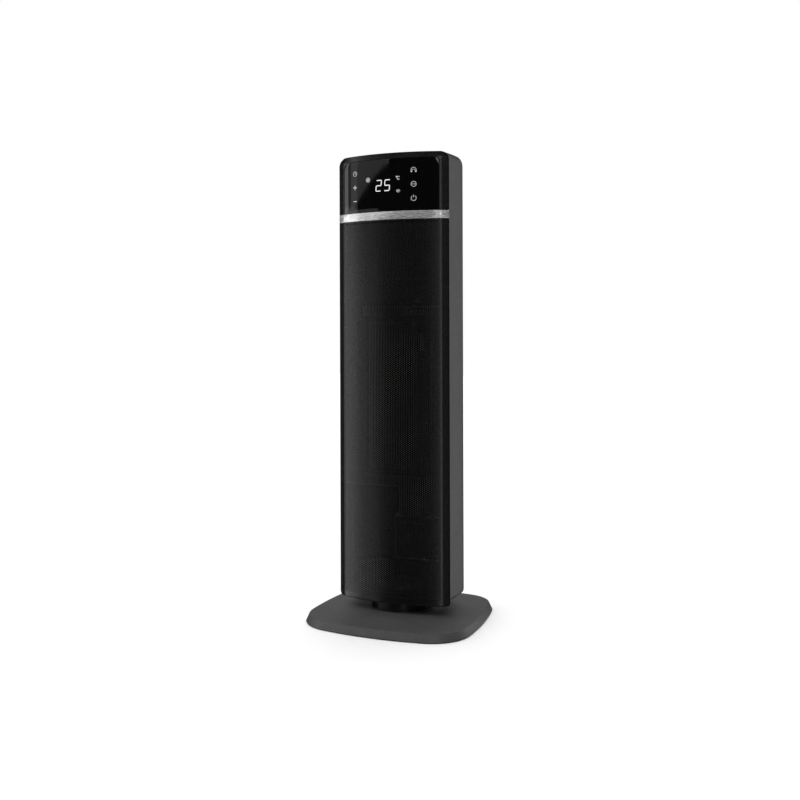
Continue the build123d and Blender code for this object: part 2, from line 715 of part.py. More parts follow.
with BuildPart() as front_frame:
    with BuildSketch(Plane.XY.offset(COVER_BOTTOM)):
        add(front_section(0, EDGE_Y))
    extrude(amount=TOWER_TOP - COVER_BOTTOM)
    top_edges = front_frame.edges().group_by(Axis.Z)[-1].sort_by(Axis.Y)[0:3]
    chamfer(top_edges, TOP_BEVEL)
    with BuildSketch(Plane.XZ):
        add(upright_outline(EDGE_X, COVER_BOTTOM, TOWER_TOP))
    extrude(amount=100, both=True, mode=Mode.INTERSECT)
    with BuildSketch(Plane.XY.offset(COVER_BOTTOM + FRAME_SKIN)):
        add(front_section(FRAME_SKIN, EDGE_Y + 20))
    extrude(amount=OPENING_TOP - COVER_BOTTOM - FRAME_SKIN, mode=Mode.SUBTRACT)
    with BuildSketch(Plane.XZ):
        add(window(OPENING_X, OPENING_BOTTOM, OPENING_TOP, OPENING_TOP_R, 2))
    extrude(amount=100, mode=Mode.SUBTRACT)
    add(front_skin(-5, BAND_SKIN, BAND_BOTTOM, BAND_TOP), mode=Mode.SUBTRACT)
write(front_frame, "front_frame")

with BuildPart() as trim_band:
    add(front_skin(0, BAND_SKIN, BAND_BOTTOM + 0.05, BAND_TOP - 0.05))
write(trim_band, "trim_band")

with BuildPart() as front_grille:
    add(front_skin(GRILLE_NEAR, GRILLE_FAR, OPENING_BOTTOM, BAND_BOTTOM))
    with BuildSketch(Plane.XZ):
        add(window(OPENING_X - FIT_GAP, OPENING_BOTTOM + FIT_GAP, BAND_BOTTOM - FIT_GAP, 0, 1.8))
    extrude(amount=100, mode=Mode.INTERSECT)
write(front_grille, "front_grille")

with BuildPart() as control_panel:
    add(front_skin(PANEL_NEAR, PANEL_FAR, BAND_TOP, OPENING_TOP))
    with BuildSketch(Plane.XZ):
        add(window(OPENING_X - FIT_GAP, BAND_TOP + FIT_GAP, OPENING_TOP - FIT_GAP, OPENING_TOP_R - FIT_GAP, 0))
    extrude(amount=100, mode=Mode.INTERSECT)
write(control_panel, "control_panel")

# ledges behind the band that carry the panel and the grille, screwed to the frame's sides
with BuildPart() as cross_rail:
    add(front_skin(FRAME_SKIN, FRAME_SKIN + 1.5, BAND_BOTTOM - RAIL_REACH, BAND_TOP + RAIL_REACH))
    with BuildSketch(Plane.XY.offset(BAND_BOTTOM + 2)):
        add(front_section(BAND_SKIN, EDGE_Y))
        add(front_section(FRAME_SKIN, EDGE_Y + 20), mode=Mode.SUBTRACT)
    extrude(amount=7)
    with BuildSketch(Plane.XZ):
        add(window(OPENING_X - 1, BAND_BOTTOM - RAIL_REACH, BAND_TOP + RAIL_REACH, 0, 0))
    extrude(amount=100, mode=Mode.INTERSECT)
write(cross_rail, "cross_rail")

# display board: seven sensing springs, a two-digit display and status lamps behind the panel
BOARD_Y = -30.0
BOARD_BOTTOM = 564.0
BOARD_TOP = 618.0
DIGIT_X = -6.7
DIGIT_Z = 590.2
LEFT_KEY_X = -51.3
RIGHT_KEY_X = 36.6
KEY_HEIGHTS = (571.5, 590.3, 609.1)
LAMPS_AT = [(-29.6, 599.1), (15.3, 599.2), (15.3, 582.0)]
PANEL_BACK_Y = APEX_Y + PANEL_FAR
BOARD_WIDE = 126.0
BOARD_THICK = 1.6
BOARD_MID = (BOARD_BOTTOM + BOARD_TOP) / 2
KEY_SPRING_R = 4.0
CARRIER_WIDE = 140.0
CARRIER_TALL = 60.0
CARRIER_BAR = 14.0
CARRIER_PEG_R = 2.5


def panel_back(x):
    """Y of the panel's back face at a distance x from the middle."""
    bow_r = (CREASE_X**2 + (CREASE_Y - APEX_Y) ** 2) / (2 * (CREASE_Y - APEX_Y))
    return APEX_Y + bow_r - sqrt((bow_r - PANEL_FAR) ** 2 - x**2)


with BuildPart() as display_board:
    with BuildSketch(Plane.XZ.offset(-BOARD_Y)):
        with Locations((0, BOARD_MID)):
            RectangleRounded(BOARD_WIDE, BOARD_TOP - BOARD_BOTTOM, 3)
    extrude(amount=-BOARD_THICK)
    with BuildSketch(Plane.XZ.offset(-BOARD_Y - BOARD_THICK)):
        with Locations((-20, 584), (24, 600)):
            RectangleRounded(12, 12, 0.5)
        with Locations((46, 576)):
            RectangleRounded(14, 6, 0.5)
    extrude(amount=-2.4)
write(display_board, "display_board")

with BuildPart() as touch_springs:
    for key_x in (LEFT_KEY_X, RIGHT_KEY_X):
        for key_z in KEY_HEIGHTS:
            with BuildSketch(Plane.XZ.offset(-BOARD_Y)):
                with Locations((key_x, key_z)):
                    Circle(KEY_SPRING_R)
                    Circle(KEY_SPRING_R - 0.8, mode=Mode.SUBTRACT)
            extrude(amount=BOARD_Y - panel_back(abs(key_x) + KEY_SPRING_R) - 0.3)
write(touch_springs, "touch_springs")

with BuildPart() as digit_display:
    with BuildSketch(Plane.XZ.offset(-BOARD_Y)):
        with Locations((DIGIT_X, DIGIT_Z)):
            RectangleRounded(30, 24, 1)
    extrude(amount=BOARD_Y - PANEL_BACK_Y - 2.4)
write(digit_display, "digit_display")

with BuildPart() as status_lamps:
    with BuildSketch(Plane.XZ.offset(-BOARD_Y)):
        with Locations(*LAMPS_AT):
            Circle(2.5)
    extrude(amount=8)
    fillet(status_lamps.edges().group_by(Axis.Y)[0], 1.5)
write(status_lamps, "status_lamps")

with BuildPart() as board_carrier:
    with BuildSketch(Plane.XZ.offset(-BOARD_Y - 6)):
        with Locations((0, BOARD_MID)):
            RectangleRounded(CARRIER_WIDE, CARRIER_TALL, 3)
            RectangleRounded(CARRIER_WIDE - 2 * CARRIER_BAR, CARRIER_TALL - 20, 3, mode=Mode.SUBTRACT)
    extrude(amount=-2)
    with BuildSketch(Plane.XZ.offset(-BOARD_Y - BOARD_THICK)):
        with Locations((0, BOARD_MID)):
            with GridLocations(BOARD_WIDE - 8, BOARD_TOP - BOARD_BOTTOM - 6, 2, 2):
                Circle(CARRIER_PEG_R)
    extrude(amount=-5)
write(board_carrier, "board_carrier")

# ---------------------------------------------------------------- heater
HEATER_SIDE = 11.0
HEATER_END = 8.0
CUTOFF_Z = 380.0
CUTOFF_BUTTON_R = 3.4
with BuildPart() as heater_frame:
    with BuildSketch(Plane.XZ.offset(-HEATER_BACK)):
        with Locations((0, (HEATER_BOTTOM + HEATER_TOP) / 2)):
            Rectangle(2 * HEATER_HALF, HEATER_TOP - HEATER_BOTTOM)
            Rectangle(2 * (HEATER_HALF - HEATER_SIDE), HEATER_TOP - HEATER_BOTTOM - 2 * HEATER_END, mode=Mode.SUBTRACT)
    extrude(amount=HEATER_BACK - HEATER_FRONT)
write(heater_frame, "heater_frame")

ELEMENT_DEEP = 11.0
ELEMENT_WALL = 0.6
STONE_COUNT = 8
STONE_PITCH = 24.0
ELEMENTS_AT = [(k - (ELEMENT_COUNT - 1) / 2) * ELEMENT_PITCH for k in range(ELEMENT_COUNT)]
ELEMENT_MID = (HEATER_BOTTOM + HEATER_TOP) / 2
ELEMENT_LONG = HEATER_TOP - HEATER_BOTTOM - 2 * HEATER_END
ELEMENT_WIDE = 3.6
FIN_WIDE = ELEMENT_PITCH - ELEMENT_WIDE

with BuildPart() as heating_bars:
    with BuildSketch(Plane.XZ.offset(-HEATER_BACK + 2)):
        for bar_x in ELEMENTS_AT:
            with Locations((bar_x, ELEMENT_MID)):
                Rectangle(ELEMENT_WIDE, ELEMENT_LONG)
    extrude(amount=ELEMENT_DEEP)
    with BuildSketch(Plane.XZ.offset(-HEATER_BACK + 3)):
        for bar_x in ELEMENTS_AT:
            with Locations((bar_x, ELEMENT_MID)):
                Rectangle(ELEMENT_WIDE - 2 * ELEMENT_WALL, ELEMENT_LONG)
    extrude(amount=ELEMENT_DEEP - 2, mode=Mode.SUBTRACT)
write(heating_bars, "heating_bars")

with BuildPart() as ceramic_stones:
    with BuildSketch(Plane.XZ.offset(-HEATER_BACK + 3)):
        for bar_x in ELEMENTS_AT:
            with Locations((bar_x, ELEMENT_MID)):
                with GridLocations(1, STONE_PITCH, 1, STONE_COUNT):
                    Rectangle(ELEMENT_WIDE - 2 * ELEMENT_WALL, STONE_PITCH - 1)
    extrude(amount=ELEMENT_DEEP - 2)
write(ceramic_stones, "ceramic_stones")

with BuildPart() as heat_fins:
    with BuildSketch(Plane.XZ.offset(-HEATER_BACK + 2)):
        fin_gaps = [(low + high) / 2 for low, high in zip(ELEMENTS_AT, ELEMENTS_AT[1:])]
        for gap_x in fin_gaps:
            with Locations((gap_x, ELEMENT_MID)):
                with GridLocations(1, FIN_PITCH, 1, int(ELEMENT_LONG / FIN_PITCH) - 1):
                    Rectangle(FIN_WIDE, 0.5)
    extrude(amount=ELEMENT_DEEP)
write(heat_fins, "heat_fins")

with BuildPart() as heater_tabs:
    with BuildSketch(Plane.XZ.offset(-HEATER_BACK + 6)):
        with Locations((-30, HEATER_BOTTOM - 5), (0, HEATER_BOTTOM - 5), (30, HEATER_BOTTOM - 5)):
            Rectangle(6.3, 10)
            Circle(0.9, mode=Mode.SUBTRACT)
    extrude(amount=0.8)
write(heater_tabs, "heater_tabs")

with BuildPart() as thermal_cutoff:
    with BuildSketch(Plane.XZ.offset(-HEATER_FRONT)):
        with Locations((HEATER_HALF - 6, CUTOFF_Z)):
            Rectangle(8, 24)
    extrude(amount=1)
    with BuildSketch(Plane.XZ.offset(-HEATER_FRONT + 1)):
        with Locations((HEATER_HALF - 6, CUTOFF_Z)):
            Circle(CUTOFF_BUTTON_R)
    extrude(amount=1.4)
write(thermal_cutoff, "thermal_cutoff")

# ---------------------------------------------------------------- blower
WALL_THIN = 1.5
END_LOW = FAN_BOTTOM - 4.5
END_HIGH = FAN_TOP + 3.0
DUCT_HOLE_R = 5.0
SCROLL_START = (2.0, 37.5)
SCROLL_MIDDLE = (-26.0, 22.0)


def blower_end(bottom, hole_r):
    """End plate of the blower duct with a round hole on the fan's axis."""
    with BuildPart() as plate:
        with BuildSketch(Plane.XY.offset(bottom)):
            with BuildLine():
                Polyline((-HEATER_HALF, HEATER_BACK), (HEATER_HALF + 4, HEATER_BACK), (HEATER_HALF + 4, 37))
                Polyline((HEATER_HALF + 4, 37), SCROLL_START)
                ThreePointArc(SCROLL_START, SCROLL_MIDDLE, (-HEATER_HALF, HEATER_BACK))
            make_face()
            with Locations((FAN_X, FAN_Y)):
                Circle(hole_r, mode=Mode.SUBTRACT)
        extrude(amount=WALL_THIN)
    return plate.part


with BuildPart() as blower_base:
    add(blower_end(END_LOW, DUCT_HOLE_R))
write(blower_base, "blower_base")

with BuildPart() as blower_cap:
    add(blower_end(END_HIGH, DUCT_HOLE_R))
write(blower_cap, "blower_cap")

with BuildPart() as scroll_wall:
    with BuildSketch(Plane.XY.offset(END_LOW + WALL_THIN)):
        with BuildLine():
            outer = ThreePointArc(SCROLL_START, SCROLL_MIDDLE, (-HEATER_HALF + 0.4, HEATER_BACK + 1.2))
            offset(outer, amount=WALL_THIN, side=Side.LEFT)
        make_face()
    extrude(amount=END_HIGH - END_LOW - WALL_THIN)
write(scroll_wall, "scroll_wall")

with BuildPart() as blower_tongue:
    with BuildSketch(Plane.XY.offset(END_LOW + WALL_THIN)):
        with BuildLine():
            Polyline((50, HEATER_BACK), (39.6, -10), (46, 6), (47.3, 5.4), (41.4, -9.6), (52, HEATER_BACK), close=True)
        make_face()
    extrude(amount=END_HIGH - END_LOW - WALL_THIN)
write(blower_tongue, "blower_tongue")

FAN_INNER_R = 19.0
DISC_THICK = 2.0
BLADE_THICK = 0.8
with BuildSketch() as fan_blade:
    with BuildLine():
        root = (FAN_INNER_R - 1, 0)
        belly = (FAN_INNER_R + 3, 0.2)
        tip = (FAN_R - 0.3, 2.6)
        ThreePointArc(root, belly, tip)
        Polyline(tip, (tip[0] - 0.4, tip[1] + BLADE_THICK))
        ThreePointArc(
            (tip[0] - 0.4, tip[1] + BLADE_THICK),
            (belly[0], belly[1] + BLADE_THICK),
            (root[0], root[1] + BLADE_THICK),
        )
        Line((root[0], root[1] + BLADE_THICK), root)
    make_face()

with BuildPart() as fan_wheel:
    with BuildSketch(Plane.XY.offset(FAN_BOTTOM)):
        with Locations((FAN_X, FAN_Y)):
            with PolarLocations(0, FAN_BLADES):
                add(fan_blade.sketch)
    extrude(amount=FAN_TOP - FAN_BOTTOM)
    for section in range(FAN_SECTIONS + 1):
        level = FAN_BOTTOM + section * (FAN_TOP - FAN_BOTTOM - DISC_THICK) / FAN_SECTIONS
        with BuildSketch(Plane.XY.offset(level)):
            with Locations((FAN_X, FAN_Y)):
                Circle(FAN_R)
                if 0 < section < FAN_SECTIONS:
                    Circle(FAN_INNER_R - 2, mode=Mode.SUBTRACT)
        extrude(amount=DISC_THICK)
write(fan_wheel, "fan_wheel")

MOTOR_LOW = 140.0
MOTOR_HIGH = 182.0
ROTOR_R = 14.0
ROTOR_END = 8.0
MOTOR_CAN_R = 24.0
MOTOR_BRACKET_WIDE = 150.0
MOTOR_BRACKET_DEEP = 56.0
MOTOR_POSTS_R = 20.0
TOP_SHAFT_LONG = 14.0
BUSH_R = 6.0
BUSH_LONG = 8.0
HOLDER_R = 10.0
with BuildPart() as fan_shaft:
    with BuildSketch(Plane.XY.offset(MOTOR_LOW + 1)):
        with Locations((FAN_X, FAN_Y)):
            Circle(SHAFT_R)
    extrude(amount=FAN_BOTTOM - MOTOR_LOW - 1)
    with BuildSketch(Plane.XY.offset(FAN_TOP)):
        with Locations((FAN_X, FAN_Y)):
            Circle(SHAFT_R)
    extrude(amount=TOP_SHAFT_LONG)
write(fan_shaft, "fan_shaft")

with BuildPart() as motor_rotor:
    with BuildSketch(Plane.XY.offset(MOTOR_LOW + ROTOR_END)):
        with Locations((FAN_X, FAN_Y)):
            Circle(ROTOR_R)
            Circle(SHAFT_R, mode=Mode.SUBTRACT)
    extrude(amount=MOTOR_HIGH - MOTOR_LOW - 2 * ROTOR_END)
write(motor_rotor, "motor_rotor")

with BuildPart() as fan_motor:
    with BuildSketch(Plane.XY.offset(MOTOR_LOW)):
        with Locations((FAN_X, FAN_Y)):
            Circle(MOTOR_CAN_R)
    extrude(amount=MOTOR_HIGH - MOTOR_LOW)
    fillet(fan_motor.edges().group_by(Axis.Z)[0], 3)
    fillet(fan_motor.edges().group_by(Axis.Z)[-1], 2)
    with BuildSketch(Plane.XY.offset(MOTOR_LOW + 5)):
        with Locations((FAN_X, FAN_Y)):
            Circle(ROTOR_R + 0.5)
    extrude(amount=MOTOR_HIGH - MOTOR_LOW - 10, mode=Mode.SUBTRACT)
    with BuildSketch(Plane.XY.offset(MOTOR_LOW)):
        with Locations((FAN_X, FAN_Y)):
            Circle(SHAFT_R + PIN_GAP)
    extrude(amount=50, mode=Mode.SUBTRACT)
write(fan_motor, "fan_motor")

with BuildPart() as motor_bracket:
    with BuildSketch(Plane.XY.offset(MOTOR_HIGH)):
        with Locations((0, 4)):
            RectangleRounded(MOTOR_BRACKET_WIDE, MOTOR_BRACKET_DEEP, 6)
        with Locations((FAN_X, FAN_Y)):
            Circle(DUCT_HOLE_R, mode=Mode.SUBTRACT)
        with Locations((FAN_X - 40, FAN_Y)):
            SlotOverall(24, 12, rotation=90, mode=Mode.SUBTRACT)
    extrude(amount=2)
    with BuildSketch(Plane.XY.offset(MOTOR_HIGH + 2)):
        with Locations((FAN_X, FAN_Y)):
            with PolarLocations(MOTOR_POSTS_R, 3):
                Circle(3.5)
    extrude(amount=END_LOW - MOTOR_HIGH - 2)
write(motor_bracket, "motor_bracket")

BEARING_LOW = END_HIGH + WALL_THIN
with BuildPart() as shaft_bush:
    with BuildSketch(Plane.XY.offset(BEARING_LOW)):
        with Locations((FAN_X, FAN_Y)):
            Circle(BUSH_R)
            Circle(SHAFT_R + PIN_GAP, mode=Mode.SUBTRACT)
    extrude(amount=BUSH_LONG)
write(shaft_bush, "shaft_bush")

with BuildPart() as bush_holder:
    with BuildSketch(Plane.XY.offset(BEARING_LOW)):
        with Locations((FAN_X, FAN_Y)):
            Circle(HOLDER_R)
            Rectangle(6 * HOLDER_R, HOLDER_R)
            Circle(BUSH_R, mode=Mode.SUBTRACT)
    extrude(amount=5)
write(bush_holder, "bush_holder")

# ---------------------------------------------------------------- electronics
POWER_X = 24.0
POWER_Y = 22.0
POWER_Z = 104.0
POWER_WIDE = 84.0
POWER_TALL = 56.0
TRAY_MARGIN = 4.0
with BuildPart() as power_board:
    with BuildSketch(Plane.XZ.offset(-POWER_Y)):
        with Locations((POWER_X, POWER_Z)):
            Rectangle(POWER_WIDE, POWER_TALL)
    extrude(amount=-BOARD_THICK)
write(power_board, "power_board")

with BuildPart() as board_parts:
    with BuildSketch(Plane.XZ.offset(-POWER_Y)):
        with Locations((POWER_X - 24, POWER_Z + 14), (POWER_X - 2, POWER_Z + 14)):
            Rectangle(19, 15.5)
        with Locations((POWER_X + 26, POWER_Z - 8)):
            Circle(8)
        with Locations((POWER_X + 2, POWER_Z - 12)):
            Rectangle(22, 18)
        with Locations((POWER_X - 26, POWER_Z - 12)):
            Rectangle(13, 5)
    extrude(amount=15)
write(board_parts, "board_parts")

with BuildPart() as board_tray:
    with BuildSketch(Plane.XZ.offset(-POWER_Y - BOARD_THICK - 4)):
        with Locations((POWER_X, POWER_Z)):
            RectangleRounded(POWER_WIDE + 2 * TRAY_MARGIN, POWER_TALL + 2 * TRAY_MARGIN, 3)
    extrude(amount=-2)
    with BuildSketch(Plane.XZ.offset(-POWER_Y - BOARD_THICK)):
        with Locations((POWER_X, POWER_Z)):
            with GridLocations(POWER_WIDE - 8, POWER_TALL - 8, 2, 2):
                Circle(3)
    extrude(amount=-4)
write(board_tray, "board_tray")

# ---------------------------------------------------------------- rear filter and main switch
FILTER_GAP = 0.4
FILTER_MID = (FILTER_BOTTOM + FILTER_TOP) / 2
FILTER_TALL = FILTER_TOP - FILTER_BOTTOM - 2 * FILTER_GAP
FILTER_WIDE = 2 * (FILTER_HALF - FILTER_GAP)
BORDER = 7.0
LOUVRE_PITCH = 6.0
LOUVRE_THICK = 2.0
LOUVRE_DEEP = 2.6
with BuildPart() as filter_frame:
    with BuildSketch(Plane.XZ.offset(-FILTER_FACE)):
        with Locations((0, FILTER_MID)):
            RectangleRounded(FILTER_WIDE, FILTER_TALL, 3)
            RectangleRounded(FILTER_WIDE - 2 * BORDER, FILTER_TALL - 2 * BORDER, 2, mode=Mode.SUBTRACT)
            with GridLocations(1, LOUVRE_PITCH, 1, int((FILTER_TALL - 2 * BORDER) / LOUVRE_PITCH) - 1):
                Rectangle(FILTER_WIDE - 2 * BORDER + 1, LOUVRE_THICK)
            with GridLocations(31, 1, 2, 1):
                Rectangle(2.5, FILTER_TALL - 2 * BORDER + 1)
    extrude(amount=LOUVRE_DEEP)
    with BuildSketch(Plane.XZ.offset(-FILTER_FACE + LOUVRE_DEEP)):
        with Locations((0, FILTER_MID)):
            RectangleRounded(FILTER_WIDE, FILTER_TALL, 3)
            RectangleRounded(FILTER_WIDE - 2 * BORDER, FILTER_TALL - 2 * BORDER, 2, mode=Mode.SUBTRACT)
    extrude(amount=FILTER_FACE - LOUVRE_DEEP - POCKET_FLOOR - FILTER_GAP)
    with BuildSketch(Plane.XZ.offset(-FILTER_FACE - 1)):
        with Locations((0, FILTER_TOP - 5.5)):
            SlotOverall(26, 5)
    extrude(amount=2.4, mode=Mode.SUBTRACT)
write(filter_frame, "filter_frame")

with BuildPart() as filter_mesh:
    with BuildSketch(Plane.XZ.offset(-POCKET_FLOOR - FILTER_GAP)):
        with Locations((0, FILTER_MID)):
            RectangleRounded(FILTER_WIDE - 2 * BORDER, FILTER_TALL - 2 * BORDER, 2)
    extrude(amount=-1)
write(filter_mesh, "filter_mesh")

SWITCH_FACE = 46.6
SWITCH_PIVOT_Y = 40.0
SWITCH_PIN_R = 1.3
with BuildPart() as switch_case:
    with BuildSketch(Plane.XZ.offset(-SWITCH_FACE)):
        with Locations((SWITCH_X, SWITCH_Z)):
            RectangleRounded(2 * SWITCH_HALF_W + 4, 2 * SWITCH_HALF_H + 4, 1.5)
    extrude(amount=-2)
    with BuildSketch(Plane.XZ.offset(-SWITCH_FACE)):
        with Locations((SWITCH_X, SWITCH_Z)):
            Rectangle(2 * SWITCH_HALF_W - 0.4, 2 * SWITCH_HALF_H - 0.4)
    extrude(amount=18)
    with BuildSketch(Plane.XZ.offset(-SWITCH_FACE - 3)):
        with Locations((SWITCH_X, SWITCH_Z)):
            Rectangle(2 * SWITCH_HALF_W - 5, 2 * SWITCH_HALF_H - 5)
    extrude(amount=16, mode=Mode.SUBTRACT)
    with BuildSketch(Plane.YZ.offset(SWITCH_X)):
        with Locations((SWITCH_PIVOT_Y, SWITCH_Z)):
            Circle(SWITCH_PIN_R)
    extrude(amount=SWITCH_HALF_W, both=True, mode=Mode.SUBTRACT)
write(switch_case, "switch_case")

with BuildPart() as switch_pin:
    with BuildSketch(Plane.YZ.offset(SWITCH_X)):
        with Locations((SWITCH_PIVOT_Y, SWITCH_Z)):
            Circle(SWITCH_PIN_R)
    extrude(amount=SWITCH_HALF_W - 0.4, both=True)
write(switch_pin, "switch_pin")

KEY_HALF_H = SWITCH_HALF_H - 4.0
KEY_HALF_W = SWITCH_HALF_W - 3.0
with BuildPart() as rocker_key:
    with BuildSketch(Plane.YZ.offset(SWITCH_X - KEY_HALF_W)):
        with BuildLine():
            face_y = SWITCH_FACE + 2.6
            top = SWITCH_Z + KEY_HALF_H
            low = SWITCH_Z - KEY_HALF_H
            ThreePointArc((face_y, top), (face_y - 1.8, SWITCH_Z), (face_y, low))
            Polyline((face_y, low), (SWITCH_PIVOT_Y - 1, low + 3), (SWITCH_PIVOT_Y - 4, SWITCH_Z))
            Polyline((SWITCH_PIVOT_Y - 4, SWITCH_Z), (SWITCH_PIVOT_Y - 1, top - 3), (face_y, top))
        make_face()
    extrude(amount=2 * KEY_HALF_W)
    with BuildSketch(Plane.YZ.offset(SWITCH_X)):
        with Locations((SWITCH_PIVOT_Y, SWITCH_Z)):
            Circle(SWITCH_PIN_R + PIN_GAP)
    extrude(amount=20, both=True, mode=Mode.SUBTRACT)
write(rocker_key, "rocker_key")

with BuildPart() as shell_screws:
    with BuildSketch(Plane.XZ.offset(-SCREW_SEAT_Y)):
        with Locations(*SHELL_SCREWS_AT):
            Circle(SCREW_HEAD_R)
    extrude(amount=-SCREW_HEAD_HIGH)
    fillet(shell_screws.edges().group_by(Axis.Y)[-1], 0.5)
    with BuildSketch(Plane.XZ.offset(-SCREW_SEAT_Y)):
        with Locations(*SHELL_SCREWS_AT):
            Circle(SCREW_SHANK_R)
    extrude(amount=14)
    with BuildSketch(Plane.XZ.offset(-SCREW_SEAT_Y - SCREW_HEAD_HIGH)):
        with Locations(*SHELL_SCREWS_AT):
            Rectangle(RECESS_LONG, RECESS_WIDE)
            Rectangle(RECESS_WIDE, RECESS_LONG)
    extrude(amount=RECESS_DEEP, mode=Mode.SUBTRACT)
write(shell_screws, "shell_screws")
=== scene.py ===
import math

import bpy
import numpy as np
from mathutils import Matrix, Vector


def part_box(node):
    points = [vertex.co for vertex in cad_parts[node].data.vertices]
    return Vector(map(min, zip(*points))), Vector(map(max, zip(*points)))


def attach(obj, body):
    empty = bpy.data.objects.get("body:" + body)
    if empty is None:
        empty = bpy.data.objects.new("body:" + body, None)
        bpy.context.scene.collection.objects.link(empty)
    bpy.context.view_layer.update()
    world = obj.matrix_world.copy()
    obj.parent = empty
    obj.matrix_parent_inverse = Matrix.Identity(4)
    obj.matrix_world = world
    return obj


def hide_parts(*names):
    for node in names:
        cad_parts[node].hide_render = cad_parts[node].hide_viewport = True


# The looks of a slim oscillating tower heater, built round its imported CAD. +Z up, front face towards -Y.
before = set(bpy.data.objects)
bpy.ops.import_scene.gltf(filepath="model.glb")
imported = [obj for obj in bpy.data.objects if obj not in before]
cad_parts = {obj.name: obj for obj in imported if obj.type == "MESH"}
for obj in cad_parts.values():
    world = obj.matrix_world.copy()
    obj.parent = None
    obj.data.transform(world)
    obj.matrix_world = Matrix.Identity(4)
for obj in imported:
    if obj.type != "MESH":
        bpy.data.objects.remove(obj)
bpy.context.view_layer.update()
scene = bpy.context.scene
MM = 0.001

# ---------------------------------------------------------------- sizes, in metres, from the frame
frame_low, frame_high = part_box("front_frame")
band_low, band_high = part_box("trim_band")
grille_low, grille_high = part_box("front_grille")
panel_low, panel_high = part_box("control_panel")
shell_low, shell_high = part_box("rear_housing")
filter_low, filter_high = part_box("filter_frame")
grip_low, grip_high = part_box("grip_cup")
switch_low, switch_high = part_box("switch_case")
gland_low, gland_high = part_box("cord_gland")
screw_low, screw_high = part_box("shell_screws")
APEX_Y = frame_low.y
EDGE_X = frame_high.x
EDGE_Y = frame_high.y
COVER_BOTTOM = frame_low.z
TOP = frame_high.z
BAND_BOTTOM = band_low.z
BAND_TOP = band_high.z
FIT_GAP = 0.2 * MM
OPENING_X = grille_high.x + FIT_GAP
OPENING_BOTTOM = grille_low.z - FIT_GAP
OPENING_TOP = panel_high.z + FIT_GAP

# ---------------------------------------------------------------- front surface
CREASE_X = 72 * MM
CREASE_Y = -33 * MM
CREASE_SOFT = 1.4 * MM
BOW_R = (CREASE_X**2 + (CREASE_Y - APEX_Y) ** 2) / (2 * (CREASE_Y - APEX_Y))
BEVEL_SLOPE = (EDGE_Y - CREASE_Y) / (EDGE_X - CREASE_X)
SOFT_X = CREASE_X - CREASE_SOFT
SOFT_Y = APEX_Y + BOW_R - math.sqrt(BOW_R**2 - SOFT_X**2)
SOFT_SLOPE = SOFT_X / math.sqrt(BOW_R**2 - SOFT_X**2)


def front_y(x):
    """Y of the front surface at x: a shallow bow, a soft crease, then a flat bevel to the edge."""
    x = np.abs(np.asarray(x, float))
    bow = APEX_Y + BOW_R - np.sqrt(BOW_R**2 - np.minimum(x, CREASE_X) ** 2)
    past = x - SOFT_X
    soft = SOFT_Y + SOFT_SLOPE * past + (BEVEL_SLOPE - SOFT_SLOPE) / (4 * CREASE_SOFT) * past**2
    bevel = EDGE_Y - BEVEL_SLOPE * (EDGE_X - x)
    return np.where(x < SOFT_X, bow, np.where(x < CREASE_X + CREASE_SOFT, soft, bevel))


# ---------------------------------------------------------------- mesh helpers
def add_piece(name, verts, faces, body, replaced, sharp=30):
    """A mesh object that rides on a body and stands for the CAD nodes named, if any."""
    mesh = bpy.data.meshes.new(name)
    mesh.from_pydata(np.asarray(verts).tolist(), [], [list(map(int, f)) for f in faces])
    mesh.validate()
    mesh.update()
    if sharp:
        mesh.shade_smooth()
        mesh.set_sharp_from_angle(angle=math.radians(sharp))
    piece = bpy.data.objects.new(name, mesh)
    scene.collection.objects.link(piece)
    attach(piece, body)
    if replaced:
        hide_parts(*replaced)
    return piece


def tube_faces(count, size, closed):
    """Quads of a tube through count rings of size points, capped unless the last ring joins the first."""
    faces = []
    for i in range(count if closed else count - 1):
        n = (i + 1) % count
        for j in range(size):
            k = (j + 1) % size
            faces.append((i * size + j, i * size + k, n * size + k, n * size + j))
    if not closed:
        faces.append(tuple(range(size))[::-1])
        faces.append(tuple((count - 1) * size + j for j in range(size)))
    return faces


def arc(radius, start, stop, steps):
    """Points (across, up) of an arc about the origin, in degrees."""
    angles = np.radians(np.linspace(start, stop, steps))
    return np.stack([radius * np.cos(angles), radius * np.sin(angles)], 1)


# ---------------------------------------------------------------- front cover frame
FRAME_TOP_BEVEL = 3 * MM
FRAME_TOP_R = 12 * MM
FRAME_BOTTOM_R = 5 * MM
OPENING_TOP_R = 8 * MM
OPENING_BOTTOM_R = 2 * MM
NOTCH_DEPTH = 1.9 * MM
NOTCH_GAP = 0.15 * MM
FRAME_RETURN = 3.4 * MM
FRAME_LIP = 2.4 * MM
FRAME_SHARP = 24
NOTCH_STEP = 0.02 * MM
CORNER_POINTS = 13
FOOT_POINTS = 9
# heights of the rows down a side, beside the grille and beside the panel
GRILLE_ROWS = np.linspace(46 * MM, 535 * MM, 30).tolist()
PANEL_ROWS = np.linspace(565 * MM, 612 * MM, 5).tolist()
# places along the top and the bottom, from 1 at the right end to -1 at the left end
ACROSS = [1 - 2 * (k + 1) / 49 for k in range(48)]
# share of the way from the opening to the outer edge, and depth in millimetres: a round, a flat, a round
FRAME_FLAT = (0.024, 0.045, 0.075, 0.105, 0.135, 0.165, 0.195, 0.225, 0.26, 0.35, 0.5, 0.65, 0.8, 0.9)
FRAME_PROFILE = [(0.0, 0.4), (0.008, 0.14)]
FRAME_PROFILE += [(share, 0.0) for share in FRAME_FLAT]
FRAME_PROFILE += [(0.945, 0.08), (0.975, 0.3), (0.992, 0.65), (1.0, 1.1)]


